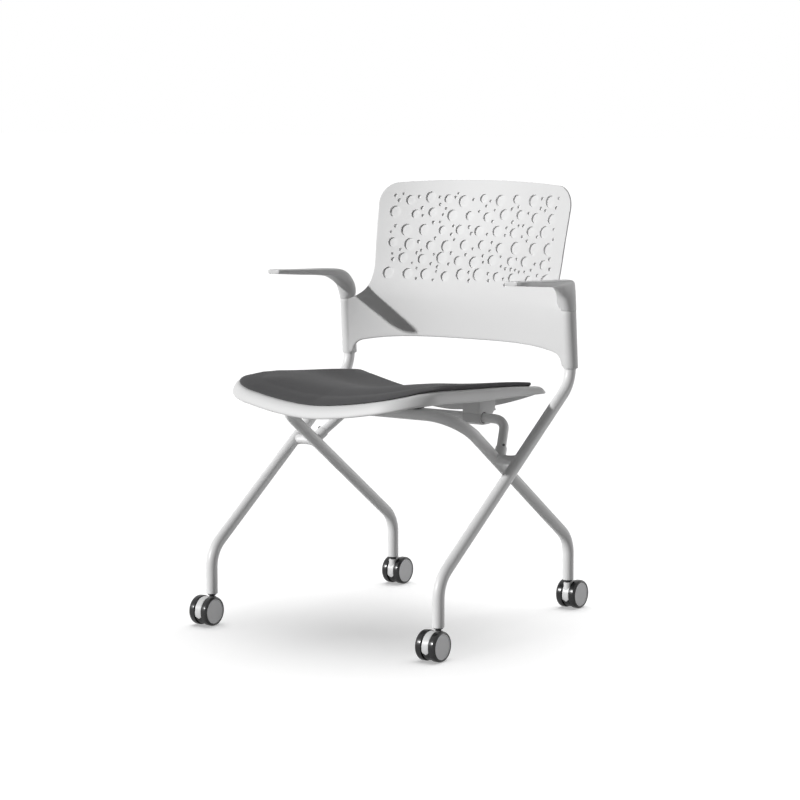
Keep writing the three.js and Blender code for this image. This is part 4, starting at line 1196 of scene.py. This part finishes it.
def buildHood():
    hood = ringLoft("hood", acrossRings(hoodRing, caster["hoodWidth"] / 2, 0.6))
    radius, foot, top = caster["bossRadius"], caster["bossFoot"], caster["bossTop"]
    boss = ringLoft("boss", [bossRing(foot, radius), bossRing(top - 0.8, radius),
                             bossRing(top - 0.2, radius - 0.25), bossRing(top, radius - 0.9)])
    cutWith(hood, boss, "UNION")
    cutWith(hood, holeTool("stemHole", caster["stemRadius"] + 0.1, caster["holeFoot"]))
    return smoothSkin(hood, 35)


def buildCore():
    core = buildDisc("core", caster["coreRadius"], caster["coreWidth"])
    cutWith(core, ringLoft("foot", acrossRings(footRing, caster["coreWidth"] / 2, 0.5)), "UNION")
    cutWith(core, holeTool("space", caster["bossRadius"] + 0.3, caster["spaceFoot"]))
    cutWith(core, buildDisc("axleHole", caster["axleRadius"] + 0.2, caster["coreWidth"] + 4))
    return smoothSkin(core, 35)


def buildStem():
    radius, collar, plug = caster["stemRadius"], caster["collarRadius"], caster["plugRadius"]
    foot, top = caster["stemFoot"], caster["plugTop"]
    low, high = caster["collar"]
    profile = roundedOutline([
        (0, foot, 0), (radius, foot, 0.5), (radius, caster["neckTop"], 0.4), (collar, low, 0.4),
        (collar, high, 0.3), (plug, caster["plugFoot"], 0.2), (plug, top, 1), (0, top, 0)])
    return smoothSkin(spunPiece("stem", profile, (0, 0, 0), (0, 0, 1), caster["stemSides"]), 30)


def buildAxle():
    half = caster["tyreOuter"] - 0.9 - caster["hubFloor"] - 0.6
    radius = caster["axleRadius"]
    profile = roundedOutline([(0, -half, 0), (radius, -half, 0.5), (radius, half, 0.5), (0, half, 0)])
    return smoothSkin(spunPiece("axle", profile, axlePlace, (1, 0, 0), caster["stemSides"]), 30)


tyreLeft, hubLeft = buildTyre(), buildHub()
casterPieces = {
    "stem": (buildStem(), "softRubber", "rubber"), "hood": (buildHood(), "hoodWhite", "hood"),
    "core": (buildCore(), "corePlastic", "tread"), "axle": (buildAxle(), "axleSteel", "steel"),
    "tyre_left": (tyreLeft, "glossTyre", "tread"),
    "tyre_right": (mirroredCopy(tyreLeft, "tyreR"), "glossTyre", "tread"),
    "hub_left": (hubLeft, "capGrey", "cap"), "hub_right": (mirroredCopy(hubLeft, "hubR"), "capGrey", "cap"),
}
for end in ("front", "rear"):
    for side in ("left", "right"):
        way = 1 if side == "left" else -1
        place = (way * caster["track"][end], (-1 if end == "front" else 1) * caster["stemSpread"], 0)
        for part, (pattern, finish, slot) in casterPieces.items():
            words = ["caster", end, side] + part.split("_")
            name = words[0] + "".join(word.capitalize() for word in words[1:])
            copy = movedCopy(pattern, name, place, end == "rear")
            dress(copy, finish, f"caster_{end}_{side}_{part}")
for pattern, _, _ in casterPieces.values():
    bpy.data.objects.remove(pattern)
print("casters built")


# Studio: a pale floor, one low hard light from the sitter's front right, a soft fill and white beyond

studio = {"floorHalf": 60, "floorColour": 0.8, "floorBounce": 0.3, "floorGlow": 0.4, "fill": 0.075,
          "keyStrength": 2.62, "keyAngle": 1.5, "keyWay": (0.4664, 0.79, -0.398), "keyPlace": (-2, -4, 2),
          "sideStrength": 0.78, "sideAngle": 40, "sideWay": (-0.6, -0.78, -0.17), "sidePlace": (4, 1, 2),
          "skyStrength": 2.7, "skyAngle": 70, "skyWay": (0.1, -0.26, -1), "skyPlace": (0, 0, 4)}


def backgroundRays(nodes, links):
    path = nodes.new("ShaderNodeLightPath")
    seen = mathNode(nodes, links, "MAXIMUM", path.outputs["Is Camera Ray"], path.outputs["Is Glossy Ray"])
    return mathNode(nodes, links, "MAXIMUM", seen, path.outputs["Is Transmission Ray"])


def buildFloor():
    deselectAll()
    bpy.ops.mesh.primitive_plane_add(size=2 * studio["floorHalf"], location=(0, 0, 0))
    floor = bpy.context.active_object
    floor.name = "studioFloor"
    material, nodes, links, shader = newMaterial("studioFloor")
    shader.inputs["Roughness"].default_value = 1
    shader.inputs["Specular IOR Level"].default_value = 0
    seen = backgroundRays(nodes, links)
    tone = mathNode(nodes, links, "MULTIPLY", seen, studio["floorColour"] - studio["floorBounce"])
    links.new(mathNode(nodes, links, "ADD", tone, studio["floorBounce"]), shader.inputs["Base Color"])
    shader.inputs["Emission Color"].default_value = (1, 1, 1, 1)
    glow = mathNode(nodes, links, "MULTIPLY", seen, studio["floorGlow"])
    links.new(glow, shader.inputs["Emission Strength"])
    floor.data.materials.append(material)
    return floor


def buildWorld():
    world = bpy.data.worlds.new("studioWorld")
    scene.world = world
    world.use_nodes = True
    nodes, links = world.node_tree.nodes, world.node_tree.links
    background = nodes["Background"]
    background.inputs["Color"].default_value = (1, 1, 1, 1)
    strength = mathNode(nodes, links, "MAXIMUM", backgroundRays(nodes, links), studio["fill"])
    links.new(strength, background.inputs["Strength"])


def addSun(name):
    lamp = bpy.data.lights.new(name, "SUN")
    lamp.energy = studio[name + "Strength"]
    lamp.angle = math.radians(studio[name + "Angle"])
    light = bpy.data.objects.new(name, lamp)
    scene.collection.objects.link(light)
    light.location = studio[name + "Place"]
    light.rotation_euler = Vector(studio[name + "Way"]).to_track_quat("-Z", "Y").to_euler()
    return light


def receivers(name, floor, state):
    group = bpy.data.collections.new(name)
    group.objects.link(floor)
    group.collection_objects[0].light_linking.link_state = state
    return group


floor = buildFloor()
buildWorld()
for name, floorState in (("key", "EXCLUDE"), ("side", "EXCLUDE"), ("sky", "INCLUDE")):
    addSun(name).light_linking.receiver_collection = receivers(name + "Receivers", floor, floorState)

view = {"place": (2.6923, -3.7257, 0.9685), "down": 6.83, "turn": 35.93, "lens": 110.25,
        "sensor": 36, "reach": 100}
camera = bpy.data.objects.new("camera", bpy.data.cameras.new("camera"))
scene.collection.objects.link(camera)
camera.location = view["place"]
camera.rotation_euler = (math.radians(90 - view["down"]), 0, math.radians(view["turn"]))
camera.data.lens = view["lens"]
camera.data.sensor_width = view["sensor"]
camera.data.clip_end = view["reach"]
scene.camera = camera
scene.view_settings.view_transform = "Standard"
print("studio built")
